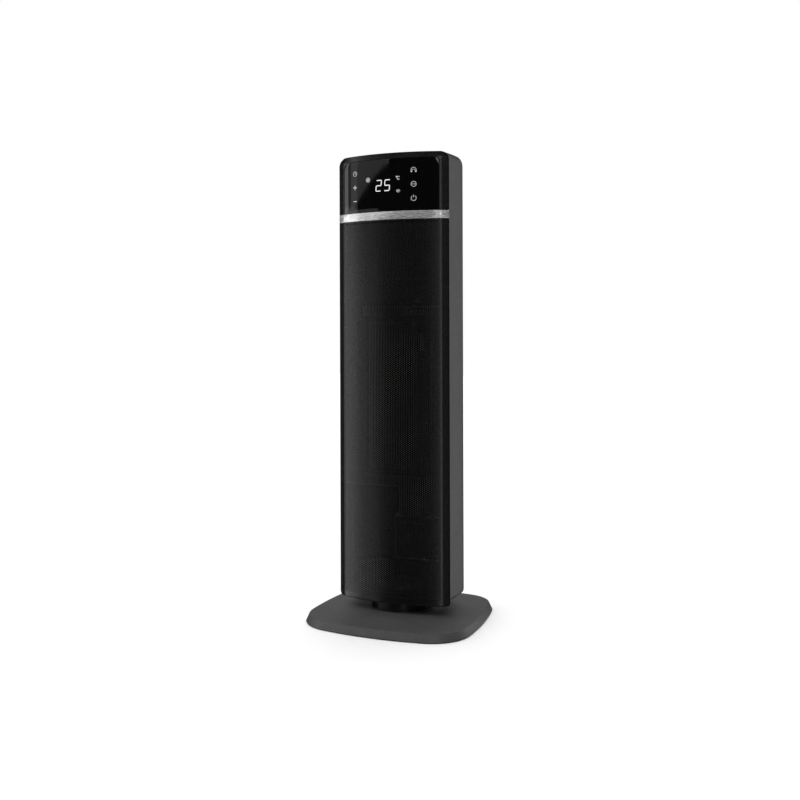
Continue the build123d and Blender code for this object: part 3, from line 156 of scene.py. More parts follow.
def frame_path(half, bottom, top, bottom_r, top_r, heights):
    """An upright rectangle with rounded corners, as points (x, z) from the foot of its right side."""
    points = [(half, z) for z in heights]
    points += [(half - top_r + a, top - top_r + b) for a, b in arc(top_r, 0, 90, CORNER_POINTS)]
    points += [(x * (half - top_r), top) for x in ACROSS]
    points += [(-half + top_r + a, top - top_r + b) for a, b in arc(top_r, 90, 180, CORNER_POINTS)]
    points += [(-half, z) for z in reversed(heights)]
    points += [(-half + bottom_r + a, bottom + bottom_r + b) for a, b in arc(bottom_r, 180, 270, FOOT_POINTS)]
    points += [(-x * (half - bottom_r), bottom) for x in ACROSS]
    points += [(half - bottom_r + a, bottom + bottom_r + b) for a, b in arc(bottom_r, 270, 360, FOOT_POINTS)]
    return points


def frame_y(x, z, depth):
    """Y of the frame at a depth under the front surface, with the bevel at the top and the band's notch."""
    lean = FRAME_TOP_BEVEL * min(max((z - OPENING_TOP) / (TOP - OPENING_TOP), 0), 1)
    notch = NOTCH_DEPTH if BAND_BOTTOM - NOTCH_GAP < z < BAND_TOP + NOTCH_GAP else 0
    return min(float(front_y(x)) + depth + lean + notch, EDGE_Y)


def make_frame():
    """The cover's frame: each ring goes from inside the opening, over the front, to a lip at the rear."""
    low, high = BAND_BOTTOM - NOTCH_GAP, BAND_TOP + NOTCH_GAP
    notch = [low - NOTCH_STEP, low + NOTCH_STEP, high - NOTCH_STEP, high + NOTCH_STEP]
    heights = GRILLE_ROWS + notch + PANEL_ROWS
    inner = frame_path(OPENING_X, OPENING_BOTTOM, OPENING_TOP, OPENING_BOTTOM_R, OPENING_TOP_R, heights)
    outer = frame_path(EDGE_X, COVER_BOTTOM, TOP, FRAME_BOTTOM_R, FRAME_TOP_R, heights)
    rings = []
    for (ix, iz), (ox, oz) in zip(inner, outer):
        ring = [(ix, frame_y(ix, iz, FRAME_RETURN), iz)]
        for share, depth in FRAME_PROFILE:
            x, z = ix + (ox - ix) * share, iz + (oz - iz) * share
            ring.append((x, frame_y(x, z, depth * MM), z))
        ring.append((ox, EDGE_Y, oz))
        share = 1 - FRAME_LIP / math.hypot(ox - ix, oz - iz)
        x, z = ix + (ox - ix) * share, iz + (oz - iz) * share
        ring.append((x, EDGE_Y, z))
        rings.append(ring)
    faces = tube_faces(len(rings), len(rings[0]), True)
    verts = np.reshape(rings, (-1, 3))
    return add_piece("cover_frame", verts, faces, "tower", ["front_frame"], FRAME_SHARP)


# ---------------------------------------------------------------- silver band and gloss panel
BAND_THICK = 1.6 * MM
BAND_ROUND = 0.45 * MM
PANEL_DEPTH = 0.3 * MM
PANEL_THICK = 2.2 * MM
PANEL_ROUND = 0.3 * MM
PANEL_R = 7.8 * MM
# share of its thickness that the panel loses at its side edges
PANEL_PINCH = 0.6
PANEL_LEVELS = 12
ROUND_POINTS = 5
# first, last and number of the places across the front, in millimetres
FACE_STOPS = (2, 68, 34)
CREASE_STOPS = (69.5, 74.5, 21)
BEVEL_STOPS = (76, 81, 5)
PANEL_STOPS = (2, 60, 30)
PANEL_TURN_FROM = 61 * MM
STOP_GAP = 0.1 * MM


def bow_stops(half):
    """X values across the front, close together at the creases."""
    right = np.concatenate([np.linspace(*stops) * MM for stops in (FACE_STOPS, CREASE_STOPS, BEVEL_STOPS)])
    right = np.append(right[right < half - STOP_GAP], half)
    return np.concatenate([-right[::-1], [0], right])


def make_band():
    """The silver band: a bar with rounded front edges that follows the front surface."""
    r = BAND_ROUND
    loop = [(BAND_BOTTOM, BAND_THICK)]
    loop += [(BAND_BOTTOM + r + a, r - b) for a, b in arc(r, 180, 90, ROUND_POINTS)]
    loop += [(BAND_TOP - r + a, r - b) for a, b in arc(r, 90, 0, ROUND_POINTS)]
    loop += [(BAND_TOP, BAND_THICK)]
    rings = [[(x, min(float(front_y(x)) + d, EDGE_Y), z) for z, d in loop] for x in bow_stops(EDGE_X)]
    faces = tube_faces(len(rings), len(loop), False)
    return add_piece("silver_band", np.reshape(rings, (-1, 3)), faces, "tower", ["trim_band"])


def panel_top(x):
    """Height of the panel's top edge at x, with its rounded corners."""
    over = max(abs(x) - (panel_high.x - PANEL_R), 0)
    return panel_high.z - PANEL_R + math.sqrt(max(PANEL_R**2 - over**2, 0))


def make_panel():
    """The gloss panel, with a small round along its edges and larger ones at its top corners."""
    r = PANEL_ROUND
    turn = panel_high.x - PANEL_R + PANEL_R * np.sin(np.radians(np.linspace(4, 76, 16)))
    edge = panel_high.x - r + r * np.sin(np.radians(np.linspace(0, 90, 6)))
    face = np.linspace(*PANEL_STOPS) * MM
    right = np.concatenate([face, turn[turn > PANEL_TURN_FROM], edge[edge > turn[-1]]])
    rings = []
    for x in np.concatenate([-right[::-1], [0], right]):
        side = max(abs(x) - (panel_high.x - r), 0)
        drop = PANEL_DEPTH + r - math.sqrt(r**2 - min(side, r) ** 2)
        low, high = panel_low.z, panel_top(x)
        loop = [(low, PANEL_THICK)]
        loop += [(low + r + a, r - b) for a, b in arc(r, 180, 90, ROUND_POINTS)]
        loop += [(low + r + (high - low - 2 * r) * k / PANEL_LEVELS, 0) for k in range(1, PANEL_LEVELS)]
        loop += [(high - r + a, r - b) for a, b in arc(r, 90, 0, ROUND_POINTS)]
        loop += [(high, PANEL_THICK)]
        rings.append([(x, float(front_y(x)) + drop + d * (1 - side / r * PANEL_PINCH), z) for z, d in loop])
    faces = tube_faces(len(rings), len(rings[0]), False)
    verts = np.reshape(rings, (-1, 3))
    return add_piece("touch_panel", verts, faces, "tower", ["control_panel"])


# ---------------------------------------------------------------- symbols on the panel
SYMBOL_PROUD = 0.04 * MM
SYMBOL_SUNK = 0.06 * MM
# from here to the grille, lengths are in millimetres unless they carry MM
THIN = 0.44
RING_POINTS = 33
BAR_PARTS = 4


class Symbols:
    """Collects flat strokes and filled shapes, in millimetres, and lays them on the panel as thin solids."""

    def __init__(self):
        self.verts = []
        self.faces = []

    def solid(self, loops, caps):
        """Adds a slab: loops are edge loops of points (x, z), caps the faces over them, as point indices."""
        start = len(self.verts)
        points = [p for loop in loops for p in loop]
        size = len(points)
        for depth in (PANEL_DEPTH - SYMBOL_PROUD, PANEL_DEPTH + SYMBOL_SUNK):
            self.verts += [(x * MM, float(front_y(x * MM)) + depth, z * MM) for x, z in points]
        self.faces += [[start + i for i in cap] for cap in caps]
        self.faces += [[start + size + i for i in reversed(cap)] for cap in caps]
        first = 0
        for loop in loops:
            for i in range(len(loop)):
                a, b = first + i, first + (i + 1) % len(loop)
                self.faces.append([start + b, start + a, start + size + a, start + size + b])
            first += len(loop)

    def filled(self, points):
        """A flat shape inside the points."""
        self.solid([points], [list(range(len(points)))])

    def stroke(self, points, width, closed=False):
        """A line of even width through the points."""
        points = np.asarray(points, float)
        count = len(points)
        left, right = [], []
        for i, point in enumerate(points):
            before = points[i - 1] if closed or i else point
            after = points[(i + 1) % count] if closed or i < count - 1 else point
            along = (after - before) / np.linalg.norm(after - before)
            side = np.array([-along[1], along[0]]) * width / 2
            left.append(tuple(point + side))
            right.append(tuple(point - side))
        if closed:
            caps = []
            for i in range(count):
                n = (i + 1) % count
                caps.append([i, count + i, count + n, n])
            self.solid([left, right[::-1]], [[a, 2 * count - 1 - (b - count), 2 * count - 1 - (c - count), d]
                                             for a, b, c, d in caps])
        else:
            caps = [[i, 2 * count - 1 - i, 2 * count - 2 - i, i + 1] for i in range(count - 1)]
            self.solid([left + right[::-1]], caps)

    def ring(self, x, z, radius, width=THIN, start=0, stop=360):
        """A ring, or an arc where it stops short of a full turn."""
        closed = stop - start >= 360
        points = arc(radius, start, stop, RING_POINTS)
        self.stroke((points[:-1] if closed else points) + [x, z], width, closed)

    def bar(self, x0, z0, x1, z1, width=THIN):
        """A straight stroke, in short parts so that it follows the bowed panel."""
        stops = range(BAR_PARTS + 1)
        self.stroke([(x0 + (x1 - x0) * k / BAR_PARTS, z0 + (z1 - z0) * k / BAR_PARTS) for k in stops], width)

    def piece(self, name, slot):
        """The piece made of everything collected."""
        return add_piece(name, self.verts, self.faces, "tower", [], 0)


KEY_ROWS = (571.5, 590.3, 609.1)
LEFT_KEYS_X = -51.3
RIGHT_KEYS_X = 36.6
DIGIT_X = -6.7
DIGIT_Z = 590.2
DIGIT_HIGH = 15.6
DIGIT_WIDE = 8.6
DIGIT_PITCH = 12.6
DIGIT_STROKE = 1.25
DIGIT_LEAN = 0.09
SEGMENT_GAP = 0.12
SEGMENT_END = 0.2
SEGMENT_TIP = 0.32
KEY_RING_R = 3.4
TIMER_RING_R = 3.1
PLUS_REACH = 3.1
PLUS_HALF = 0.4
LAMP_FAN = (-29.6, 599.1)
LAMP_UNIT = (15.3, 599.2)
LAMP_HEAT = (15.3, 582.0)


def make_key_symbols():
    """Timer, plus and minus on the left; swing, mode and power on the right."""
    marks = Symbols()
    x, z = LEFT_KEYS_X, KEY_ROWS[2]
    marks.ring(x, z, TIMER_RING_R)
    marks.bar(x, z - 0.3, x, z + 2.1)
    marks.bar(x + 0.31, z, x + 1.7, z)
    z = KEY_ROWS[1]
    a, b = PLUS_REACH, PLUS_HALF
    marks.filled([(x - a, z - b), (x - b, z - b), (x - b, z - a), (x + b, z - a),
                  (x + b, z - b), (x + a, z - b), (x + a, z + b), (x + b, z + b),
                  (x + b, z + a), (x - b, z + a), (x - b, z + b), (x - a, z + b)])
    marks.bar(x - 2.7, KEY_ROWS[0], x + 2.7, KEY_ROWS[0], 0.84)
    x, z = RIGHT_KEYS_X, KEY_ROWS[2]
    marks.ring(x, z, KEY_RING_R, start=-40, stop=220)
    marks.filled([(x - 3.9, z - 1.1), (x - 1.5, z - 1.9), (x - 3.5, z - 3.2)])
    marks.filled([(x + 3.9, z - 1.1), (x + 3.5, z - 3.2), (x + 1.5, z - 1.9)])
    marks.bar(x - 2.2, z - 0.2, x - 0.3, z + 1.1)
    marks.bar(x + 0.3, z + 1.1, x + 2.2, z - 0.2)
    z = KEY_ROWS[1]
    marks.ring(x, z, KEY_RING_R)
    marks.bar(x - 3.1, z, x + 3.1, z)
    z = KEY_ROWS[0]
    marks.ring(x, z, KEY_RING_R, start=-240, stop=60)
    marks.bar(x, z + 0.8, x, z + 4.6)
    return marks.piece("key_symbols", "lamp_clear")


def segment(marks, centre, ends):
    """One lit segment of a digit: a bar with pointed ends."""
    (x0, z0), (x1, z1) = ends
    along = np.array([x1 - x0, z1 - z0]) / math.hypot(x1 - x0, z1 - z0)
    side = np.array([-along[1], along[0]]) * DIGIT_STROKE / 2
    a, b = np.array([x0, z0]), np.array([x1, z1])
    tip = along * DIGIT_STROKE * SEGMENT_TIP
    low, high = a + along * DIGIT_STROKE * SEGMENT_END, b - along * DIGIT_STROKE * SEGMENT_END
    outline = [low - tip * 0.4, low + side * 0.7, low + tip + side, high - tip + side, high + side * 0.7,
               high + tip * 0.4, high - side * 0.7, high - tip - side, low + tip - side, low - side * 0.7]
    marks.filled([(centre + x + DIGIT_LEAN * z, DIGIT_Z + z) for x, z in outline][::-1])


def make_digits():
    """The set temperature in seven-segment digits: two, then five."""
    marks = Symbols()
    w, h = (DIGIT_WIDE - DIGIT_STROKE) / 2, (DIGIT_HIGH - DIGIT_STROKE) / 2
    gap = SEGMENT_GAP
    bars = {
        "top": ((-w, h), (w, h)), "middle": ((-w, 0), (w, 0)), "bottom": ((-w, -h), (w, -h)),
        "upper left": ((-w, gap), (-w, h - gap)), "upper right": ((w, gap), (w, h - gap)),
        "lower left": ((-w, gap - h), (-w, -gap)), "lower right": ((w, gap - h), (w, -gap)),
    }
    two = ("top", "upper right", "middle", "lower left", "bottom")
    five = ("top", "upper left", "middle", "lower right", "bottom")
    for centre, lit in ((DIGIT_X - DIGIT_PITCH / 2, two), (DIGIT_X + DIGIT_PITCH / 2, five)):
        for name in lit:
            segment(marks, centre, bars[name])
    return marks.piece("digits", "digit_module")


def make_lamp_symbols():
    """The status lamps' signs: a fan, the unit of temperature and a heat sign."""
    marks = Symbols()
    x, z = LAMP_FAN
    marks.ring(x, z, 2.9, 0.5)
    for turn in (90, 210, 330):
        blade = np.concatenate([arc(0.35, turn + 60, turn - 60, 3), arc(1.9, turn - 28, turn + 28, 5)])
        marks.filled([(x + a, z + b) for a, b in blade])
    x, z = LAMP_UNIT
    marks.ring(x - 2.1, z + 1.8, 0.75, 0.45)
    marks.ring(x + 0.7, z, 2.0, 0.6, 45, 315)
    x, z = LAMP_HEAT
    marks.stroke([(x - 2.8, z), (x, z - 1.9), (x + 2.8, z), (x, z + 1.9)], 0.6, True)
    marks.bar(x - 1.0, z, x + 1.0, z, 0.7)
    return marks.piece("lamp_symbols", "lamp_clear")


# ---------------------------------------------------------------- perforated grille
HOLE_PITCH = 2.7 * MM
COLUMN_PITCH = HOLE_PITCH * math.sqrt(3) / 2
HOLE_R = 0.73 * MM
HOLE_SIDES = 8
HOLE_STEP = 360 / HOLE_SIDES
HOLE_STAGGER = 0.25
WELD = 0.01 * MM
SHEET_DEPTH = 0.5 * MM
SHEET_THICK = 1.0 * MM
SHEET_PARTS = 3
HEM_WIDE = 1.9 * MM
HEM_DEPTH = 0.42 * MM
HEM_THICK = 1.08 * MM
SHEET_EDGE = 1.2 * MM
SHEET_SIDES = 1.0 * MM
HEM_BOTTOM_R = 1.8 * MM
HEM_TOP_R = 0.3 * MM
HEM_INNER_BOTTOM_R = 0.6 * MM
HEM_INNER_TOP_R = 0.1 * MM
HEM_ROWS = 40


def cell_faces():
    """Triangles between a hexagon, points 0 to 5, and the hole in its middle, points 6 on."""
    corners = [(60 * i, 0, i) for i in range(6)]
    holes = [(HOLE_STEP * (i + 0.5), 1, i) for i in range(HOLE_SIDES)]
    steps = sorted(corners + holes)
    corner, hole = 5, HOLE_SIDES - 1
    faces = []
    for _, is_hole, i in steps:
        if is_hole:
            faces.append((corner, 6 + i, 6 + hole))
            hole = i
        else:
            faces.append((corner, i, 6 + hole))
            corner = i
    return np.array(faces)


def make_sheet_part(index, columns, first_row, rows):
    """Some rows of the perforated sheet. Its cells are hexagons that share their corners."""
    hexagon = arc(HOLE_PITCH / math.sqrt(3), 0, 300, 6)
    hole = arc(HOLE_R, HOLE_STEP / 2, 360 - HOLE_STEP / 2, HOLE_SIDES)
    cell = np.concatenate([hexagon, hole])
    column, row = np.meshgrid(np.arange(columns), np.arange(first_row, first_row + rows), indexing="ij")
    x = (column - (columns - 1) / 2) * COLUMN_PITCH
    shift = np.where(column % 2, HOLE_STAGGER, -HOLE_STAGGER)
    z = grille_low.z + SHEET_EDGE + (row + 0.5 + shift) * HOLE_PITCH
    flat = (np.stack([x, z], -1).reshape(-1, 1, 2) + cell).reshape(-1, 2)
    _, kept, where = np.unique(np.round(flat / WELD), axis=0, return_index=True, return_inverse=True)
    flat, where = flat[kept], where.reshape(-1)
    front = np.stack([flat[:, 0], front_y(flat[:, 0]) + SHEET_DEPTH, flat[:, 1]], 1)
    back = front + [0, SHEET_THICK, 0]
    starts = (np.arange(rows * columns) * len(cell))[:, None, None]
    sheet = where[(starts + cell_faces()).reshape(-1, 3)]
    near = 6 + np.arange(HOLE_SIDES)
    far = 6 + (np.arange(HOLE_SIDES) + 1) % HOLE_SIDES
    wall = where[(starts + np.stack([near, far], 1)).reshape(-1, 2)]
    count = len(flat)
    faces = sheet.tolist() + (sheet[:, ::-1] + count).tolist()
    faces += np.stack([wall[:, 1], wall[:, 0], wall[:, 0] + count, wall[:, 1] + count], 1).tolist()
    verts = np.concatenate([front, back])
    return add_piece(f"grille_sheet_{index}", verts, faces, "tower", ["front_grille"], 0)


def make_hem():
    """The grille's folded edge: a plain strip round the sheet, behind its front."""
    half, low, high = grille_high.x, grille_low.z, grille_high.z
    near, far = HEM_DEPTH, HEM_DEPTH + HEM_THICK
    heights = np.linspace(low + 3 * MM, high - 1 * MM, HEM_ROWS).tolist()
    outer = frame_path(half, low, high, HEM_BOTTOM_R, HEM_TOP_R, heights)
    inner = frame_path(half - HEM_WIDE, low + HEM_WIDE, high - HEM_WIDE,
                       HEM_INNER_BOTTOM_R, HEM_INNER_TOP_R, heights)
    rings = []
    for (ox, oz), (ix, iz) in zip(outer, inner):
        rings.append([(ix, float(front_y(ix)) + far, iz), (ix, float(front_y(ix)) + near, iz),
                      (ox, float(front_y(ox)) + near, oz), (ox, float(front_y(ox)) + far, oz)])
    faces = tube_faces(len(rings), 4, True)
    verts = np.reshape(rings, (-1, 3))
    return add_piece("grille_hem", verts, faces, "tower", ["front_grille"])


def make_grille():
    """The sheet in three heights, and the plain hem round its edge."""
    columns = int((2 * grille_high.x - SHEET_SIDES) / COLUMN_PITCH)
    rows = int((grille_high.z - grille_low.z - 2 * SHEET_EDGE) / HOLE_PITCH)
    made = [make_hem()]
    for index in range(SHEET_PARTS):
        first, last = rows * index // SHEET_PARTS, rows * (index + 1) // SHEET_PARTS
        made.append(make_sheet_part(index + 1, columns, first, last - first))
    return made


# ---------------------------------------------------------------- rear shell
SHELL_EDGE = (EDGE_X, EDGE_Y)
SHELL_SIDE = (83.4 * MM, 5 * MM)
SHELL_CORNER = (82.4 * MM, 42.8 * MM)
SHELL_BACK = (0.0, shell_high.y)
SHELL_CORNER_R = 31 * MM
SHELL_SIDE_TOP_R = 12 * MM
SHELL_BACK_TOP_R = 30 * MM
SHELL_FOOT_R = 5 * MM
SHELL_SKIN = 2.5 * MM
POCKET_HALF = 54 * MM
POCKET_LOW = filter_low.z - 0.4 * MM
POCKET_HIGH = filter_high.z + 0.4 * MM
POCKET_WALL = 2.5 * MM
POCKET_FLOOR = filter_low.y - 0.4 * MM
SLOT_PITCH = 6 * MM
SLOT_TALL = 3.2 * MM
SCREW_SEAT_R = 3.2 * MM
SCREW_SEAT_IN = 2.9 * MM
SCREW_HEIGHTS = (60 * MM, 300 * MM, 560 * MM)
SWITCH_HALF_WIDE = 10.5 * MM
SWITCH_HALF_TALL = 14 * MM
SWITCH_CORNER_R = 0.5 * MM
GLAND_HOLE_R = 6 * MM
GRIP_EDGE = 0.1 * MM
GRIP_CORNER_R = 0.6 * MM
PIVOT_HOLE_R = 14.5 * MM
PIVOT_CUT_LOW = 30 * MM
PIVOT_CUT_TALL = 10 * MM
POCKET_CORNER_R = 1.5 * MM
POCKET_FLOOR_THICK = 2 * MM
POCKET_MOUTH = 44.2 * MM
POCKET_MARGIN = 12 * MM
SLOT_INNER = 3 * MM
SLOT_OUTER = 47 * MM
# where the cuts in the back start, as Y, and how far past the back they go
POCKET_CUT_FROM = 36 * MM
GRIP_CUT_FROM = 20 * MM
HOLE_CUT_FROM = 30 * MM
CUT_PAST = 10 * MM
# rows of points up the foot, the wall and the top
FOOT_ROWS = 7
WALL_ROWS = 48
TOP_ROWS = 15
SHELL_SHARP = 28


def circle_through(a, b, c):
    """Centre and radius of the circle through three points."""
    (ax, ay), (bx, by), (cx, cy) = a, b, c
    sums = np.array([[bx - ax, by - ay], [cx - ax, cy - ay]])
    squares = np.array([bx**2 - ax**2 + by**2 - ay**2, cx**2 - ax**2 + cy**2 - ay**2]) / 2
    centre = np.linalg.solve(sums, squares)
    return centre, math.hypot(ax - centre[0], ay - centre[1])


def shell_outline():
    """Plan of the shell from its front right edge round the back: points and outward normals."""
    side_centre, side_r = circle_through(SHELL_EDGE, SHELL_SIDE, SHELL_CORNER)
    back_centre, back_r = circle_through(SHELL_CORNER, SHELL_BACK, (-SHELL_CORNER[0], SHELL_CORNER[1]))
    a, b = side_r - SHELL_CORNER_R, back_r - SHELL_CORNER_R
    between = back_centre - side_centre
    apart = np.linalg.norm(between)
    along = (a**2 - b**2 + apart**2) / (2 * apart)
    across = np.array([between[1], -between[0]]) / apart * math.sqrt(a**2 - along**2)
    middle = side_centre + between / apart * along
    turn = max((middle + across, middle - across), key=lambda c: c[0])
    side_end = math.atan2(*(turn - side_centre)[::-1])
    back_start = math.atan2(*(turn - back_centre)[::-1])
    side_start = math.atan2(SHELL_EDGE[1] - side_centre[1], SHELL_EDGE[0] - side_centre[0])
    pieces = [
        (side_centre, side_r, np.linspace(side_start, side_end, 22)[:-1]),
        (turn, SHELL_CORNER_R, np.linspace(side_end, back_start, 26)[:-1]),
        (back_centre, back_r, np.linspace(back_start, math.pi / 2, 20)),
    ]
    points, normals = [], []
    for centre, radius, angles in pieces:
        out = np.stack([np.cos(angles), np.sin(angles)], 1)
        points.append(centre + radius * out)
        normals.append(out)
    points, normals = np.concatenate(points), np.concatenate(normals)
    mirror = np.array([-1, 1])
    points = np.concatenate([points, points[-2::-1] * mirror])
    return points, np.concatenate([normals, normals[-2::-1] * mirror])


def shell_skin(points, normals, inset):
    """Rows of points over the shell, from the rim of its floor to the rim of its flat top."""
    low, high = shell_low.z + inset, TOP - inset
    top_r = np.hypot(SHELL_SIDE_TOP_R * normals[:, 0], SHELL_BACK_TOP_R * normals[:, 1]) - inset
    foot_r = SHELL_FOOT_R - inset
    rows = []

    def row(offset, z):
        plan = points - normals * (inset + offset)[:, None]
        plan[[0, -1], 1] = EDGE_Y
        rows.append(np.column_stack([plan, z]))

    count = len(points)
    for t in np.radians(np.linspace(0, 90, FOOT_ROWS)):
        z = low + foot_r * (1 - math.cos(t))
        row(np.full(count, foot_r * (1 - math.sin(t))), np.full(count, z))
    for k in range(1, WALL_ROWS):
        z = low + foot_r + (high - top_r - low - foot_r) * k / WALL_ROWS
        row(np.zeros(count), z)
    for t in np.radians(np.linspace(0, 90, TOP_ROWS)):
        row(top_r * (1 - math.cos(t)), high - top_r * (1 - math.sin(t)))
    return np.array(rows)


def make_shell():
    """The rear shell: an outer and an inner skin joined at the front edge, with its openings cut."""
    points, normals = shell_outline()
    outer, inner = shell_skin(points, normals, 0), shell_skin(points, normals, SHELL_SKIN)
    rows, count = outer.shape[:2]
    size = rows * count
    faces = []
    for start, flip in ((0, False), (size, True)):
        skin = [(i * count + j, i * count + j + 1, (i + 1) * count + j + 1, (i + 1) * count + j)
                for i in range(rows - 1) for j in range(count - 1)]
        top = (rows - 1) * count
        # Known fault: the rim of the flat top comes forward again between the rear corners, so the strips
        # double back there, and a dark wedge shows from above and behind.
        for j in range(count // 2):
            k = count - 1 - j
            face = (j, j + 1, k - 1, k) if j + 1 < k - 1 else (j, j + 1, k)
            skin.append(tuple(top + v for v in face))
            skin.append(face[::-1])
        faces += [tuple(start + v for v in (face[::-1] if flip else face)) for face in skin]
    edge = [i * count for i in range(rows)] + [i * count + count - 1 for i in range(rows - 1, -1, -1)]
    for a, b in zip(edge, edge[1:] + edge[:1]):
        faces.append((b, a, size + a, size + b))
    verts = np.concatenate([outer.reshape(-1, 3), inner.reshape(-1, 3)])
    shell = add_piece("rear_shell", verts, faces, "tower", ["rear_housing"], 0)
    cut(shell, shell_cutters())
    shell.data.shade_smooth()
    shell.data.set_sharp_from_angle(angle=math.radians(SHELL_SHARP))
    return shell


def prism(points, near, far):
    """Vertices and faces of a prism along Y over an outline (x, z)."""
    count = len(points)
    verts = [(x, near, z) for x, z in points] + [(x, far, z) for x, z in points]
    faces = [tuple(range(count)), tuple(range(2 * count - 1, count - 1, -1))]
    faces += [(i, i + count, (i + 1) % count + count, (i + 1) % count) for i in range(count)]
    return verts, faces


def rounded_box(x0, x1, z0, z1, r):
    """Outline of an upright rectangle with rounded corners."""
    outline = []
    left, right, low, high = x0 + r, x1 - r, z0 + r, z1 - r
    for cx, cz, start in ((right, low, -90), (right, high, 0), (left, high, 90), (left, low, 180)):
        outline += [(cx + a, cz + b) for a, b in arc(r, start, start + 90, ROUND_POINTS)]
    return outline


def shell_cutters():
    """Closed shapes of the openings in the shell: pocket, grip, switch, cord hole, screws and pivot."""
    far = shell_high.y + CUT_PAST
    pocket = rounded_box(-POCKET_HALF, POCKET_HALF, POCKET_LOW, POCKET_HIGH, POCKET_CORNER_R)
    made = [prism(pocket, POCKET_CUT_FROM, far)]
    grip = rounded_box(grip_low.x - GRIP_EDGE, grip_high.x + GRIP_EDGE,
                       grip_low.z - GRIP_EDGE, grip_high.z + GRIP_EDGE, GRIP_CORNER_R)
    made.append(prism(grip, GRIP_CUT_FROM, far))
    x, z = (switch_low.x + switch_high.x) / 2, (switch_low.z + switch_high.z) / 2
    switch = rounded_box(x - SWITCH_HALF_WIDE, x + SWITCH_HALF_WIDE,
                         z - SWITCH_HALF_TALL, z + SWITCH_HALF_TALL, SWITCH_CORNER_R)
    made.append(prism(switch, HOLE_CUT_FROM, far))
    x, z = (gland_low.x + gland_high.x) / 2, (gland_low.z + gland_high.z) / 2
    made.append(prism([(x + a, z + b) for a, b in arc(GLAND_HOLE_R, 0, 350, 36)], HOLE_CUT_FROM, far))
    for x in (screw_low.x + SCREW_SEAT_IN, screw_high.x - SCREW_SEAT_IN):
        for z in SCREW_HEIGHTS:
            made.append(prism([(x + a, z + b) for a, b in arc(SCREW_SEAT_R, 0, 345, 24)], HOLE_CUT_FROM, far))
    verts, faces = prism(arc(PIVOT_HOLE_R, 0, 354, 60), 0, PIVOT_CUT_TALL)
    made.append(([(x, z, PIVOT_CUT_LOW + y) for x, y, z in verts], [f[::-1] for f in faces]))
    return made


def cut(piece, solids):
    """Cuts closed solids out of a piece, and keeps only the result."""
    verts, faces = [], []
    for some_verts, some_faces in solids:
        faces += [tuple(len(verts) + v for v in face) for face in some_faces]
        verts += some_verts
    mesh = bpy.data.meshes.new("cutter")
    mesh.from_pydata(verts, [], faces)
    cutter = bpy.data.objects.new("cutter", mesh)
    scene.collection.objects.link(cutter)
    modifier = piece.modifiers.new("cut", "BOOLEAN")
    modifier.object = cutter
    modifier.solver = "EXACT"
    bpy.context.view_layer.update()
    result = bpy.data.meshes.new_from_object(piece.evaluated_get(bpy.context.evaluated_depsgraph_get()))
    piece.modifiers.clear()
    piece.data = result
    bpy.data.objects.remove(cutter)


# the four neighbours of a cell, each with the two corners of the cell that it shares
NEIGHBOURS = [
    (-1, 0, (0, 0), (0, 1)),
    (1, 0, (1, 1), (1, 0)),
    (0, -1, (1, 0), (0, 0)),
    (0, 1, (0, 1), (1, 1)),
]


def make_pocket():
    """The filter's pocket: four walls and a floor with two columns of slots."""
    half, wall = POCKET_HALF, POCKET_WALL
    rings = []
    for sx, sz in ((1, 0), (1, 1), (-1, 1), (-1, 0)):
        z_in = POCKET_HIGH if sz else POCKET_LOW
        z_out = z_in + (wall if sz else -wall)
        near, far = POCKET_FLOOR - POCKET_FLOOR_THICK, POCKET_MOUTH
        rings.append([(sx * half, near, z_in), (sx * half, far, z_in), (sx * (half + wall), far, z_out),
                      (sx * (half + wall), near, z_out)])
    verts = [p for ring in rings for p in ring]
    faces = tube_faces(4, 4, True)
    rows = int((POCKET_HIGH - POCKET_LOW - POCKET_MARGIN) / SLOT_PITCH)
    middle = (POCKET_LOW + POCKET_HIGH) / 2
    xs = [-half, -SLOT_OUTER, -SLOT_INNER, SLOT_INNER, SLOT_OUTER, half]
    zs = [POCKET_LOW]
    for k in range(rows):
        z = middle + (k - (rows - 1) / 2) * SLOT_PITCH
        zs += [z - SLOT_TALL / 2, z + SLOT_TALL / 2]
    zs.append(POCKET_HIGH)
    start = len(verts)
    for y in (POCKET_FLOOR - POCKET_FLOOR_THICK, POCKET_FLOOR):
        verts += [(x, y, z) for z in zs for x in xs]
    layer = len(xs) * len(zs)

    def solid(i, j):
        """Whether a cell of the floor is filled: slots lie in columns 1 and 3, in every second row."""
        inside = 0 <= i < len(xs) - 1 and 0 <= j < len(zs) - 1
        return inside and not (i in (1, 3) and j % 2)

    def at(i, j, back):
        """Index of a point of the floor, in front or behind."""
        return start + back * layer + j * len(xs) + i

    for j in range(len(zs) - 1):
        for i in range(len(xs) - 1):
            if not solid(i, j):
                continue
            faces.append((at(i, j, 0), at(i + 1, j, 0), at(i + 1, j + 1, 0), at(i, j + 1, 0)))
            faces.append((at(i, j + 1, 1), at(i + 1, j + 1, 1), at(i + 1, j, 1), at(i, j, 1)))
            for di, dj, a, b in NEIGHBOURS:
                if not solid(i + di, j + dj):
                    p, q = (i + a[0], j + a[1]), (i + b[0], j + b[1])
                    faces.append((at(*p, 0), at(*q, 0), at(*q, 1), at(*p, 1)))
    return add_piece("filter_pocket", verts, faces, "tower", ["rear_housing"])


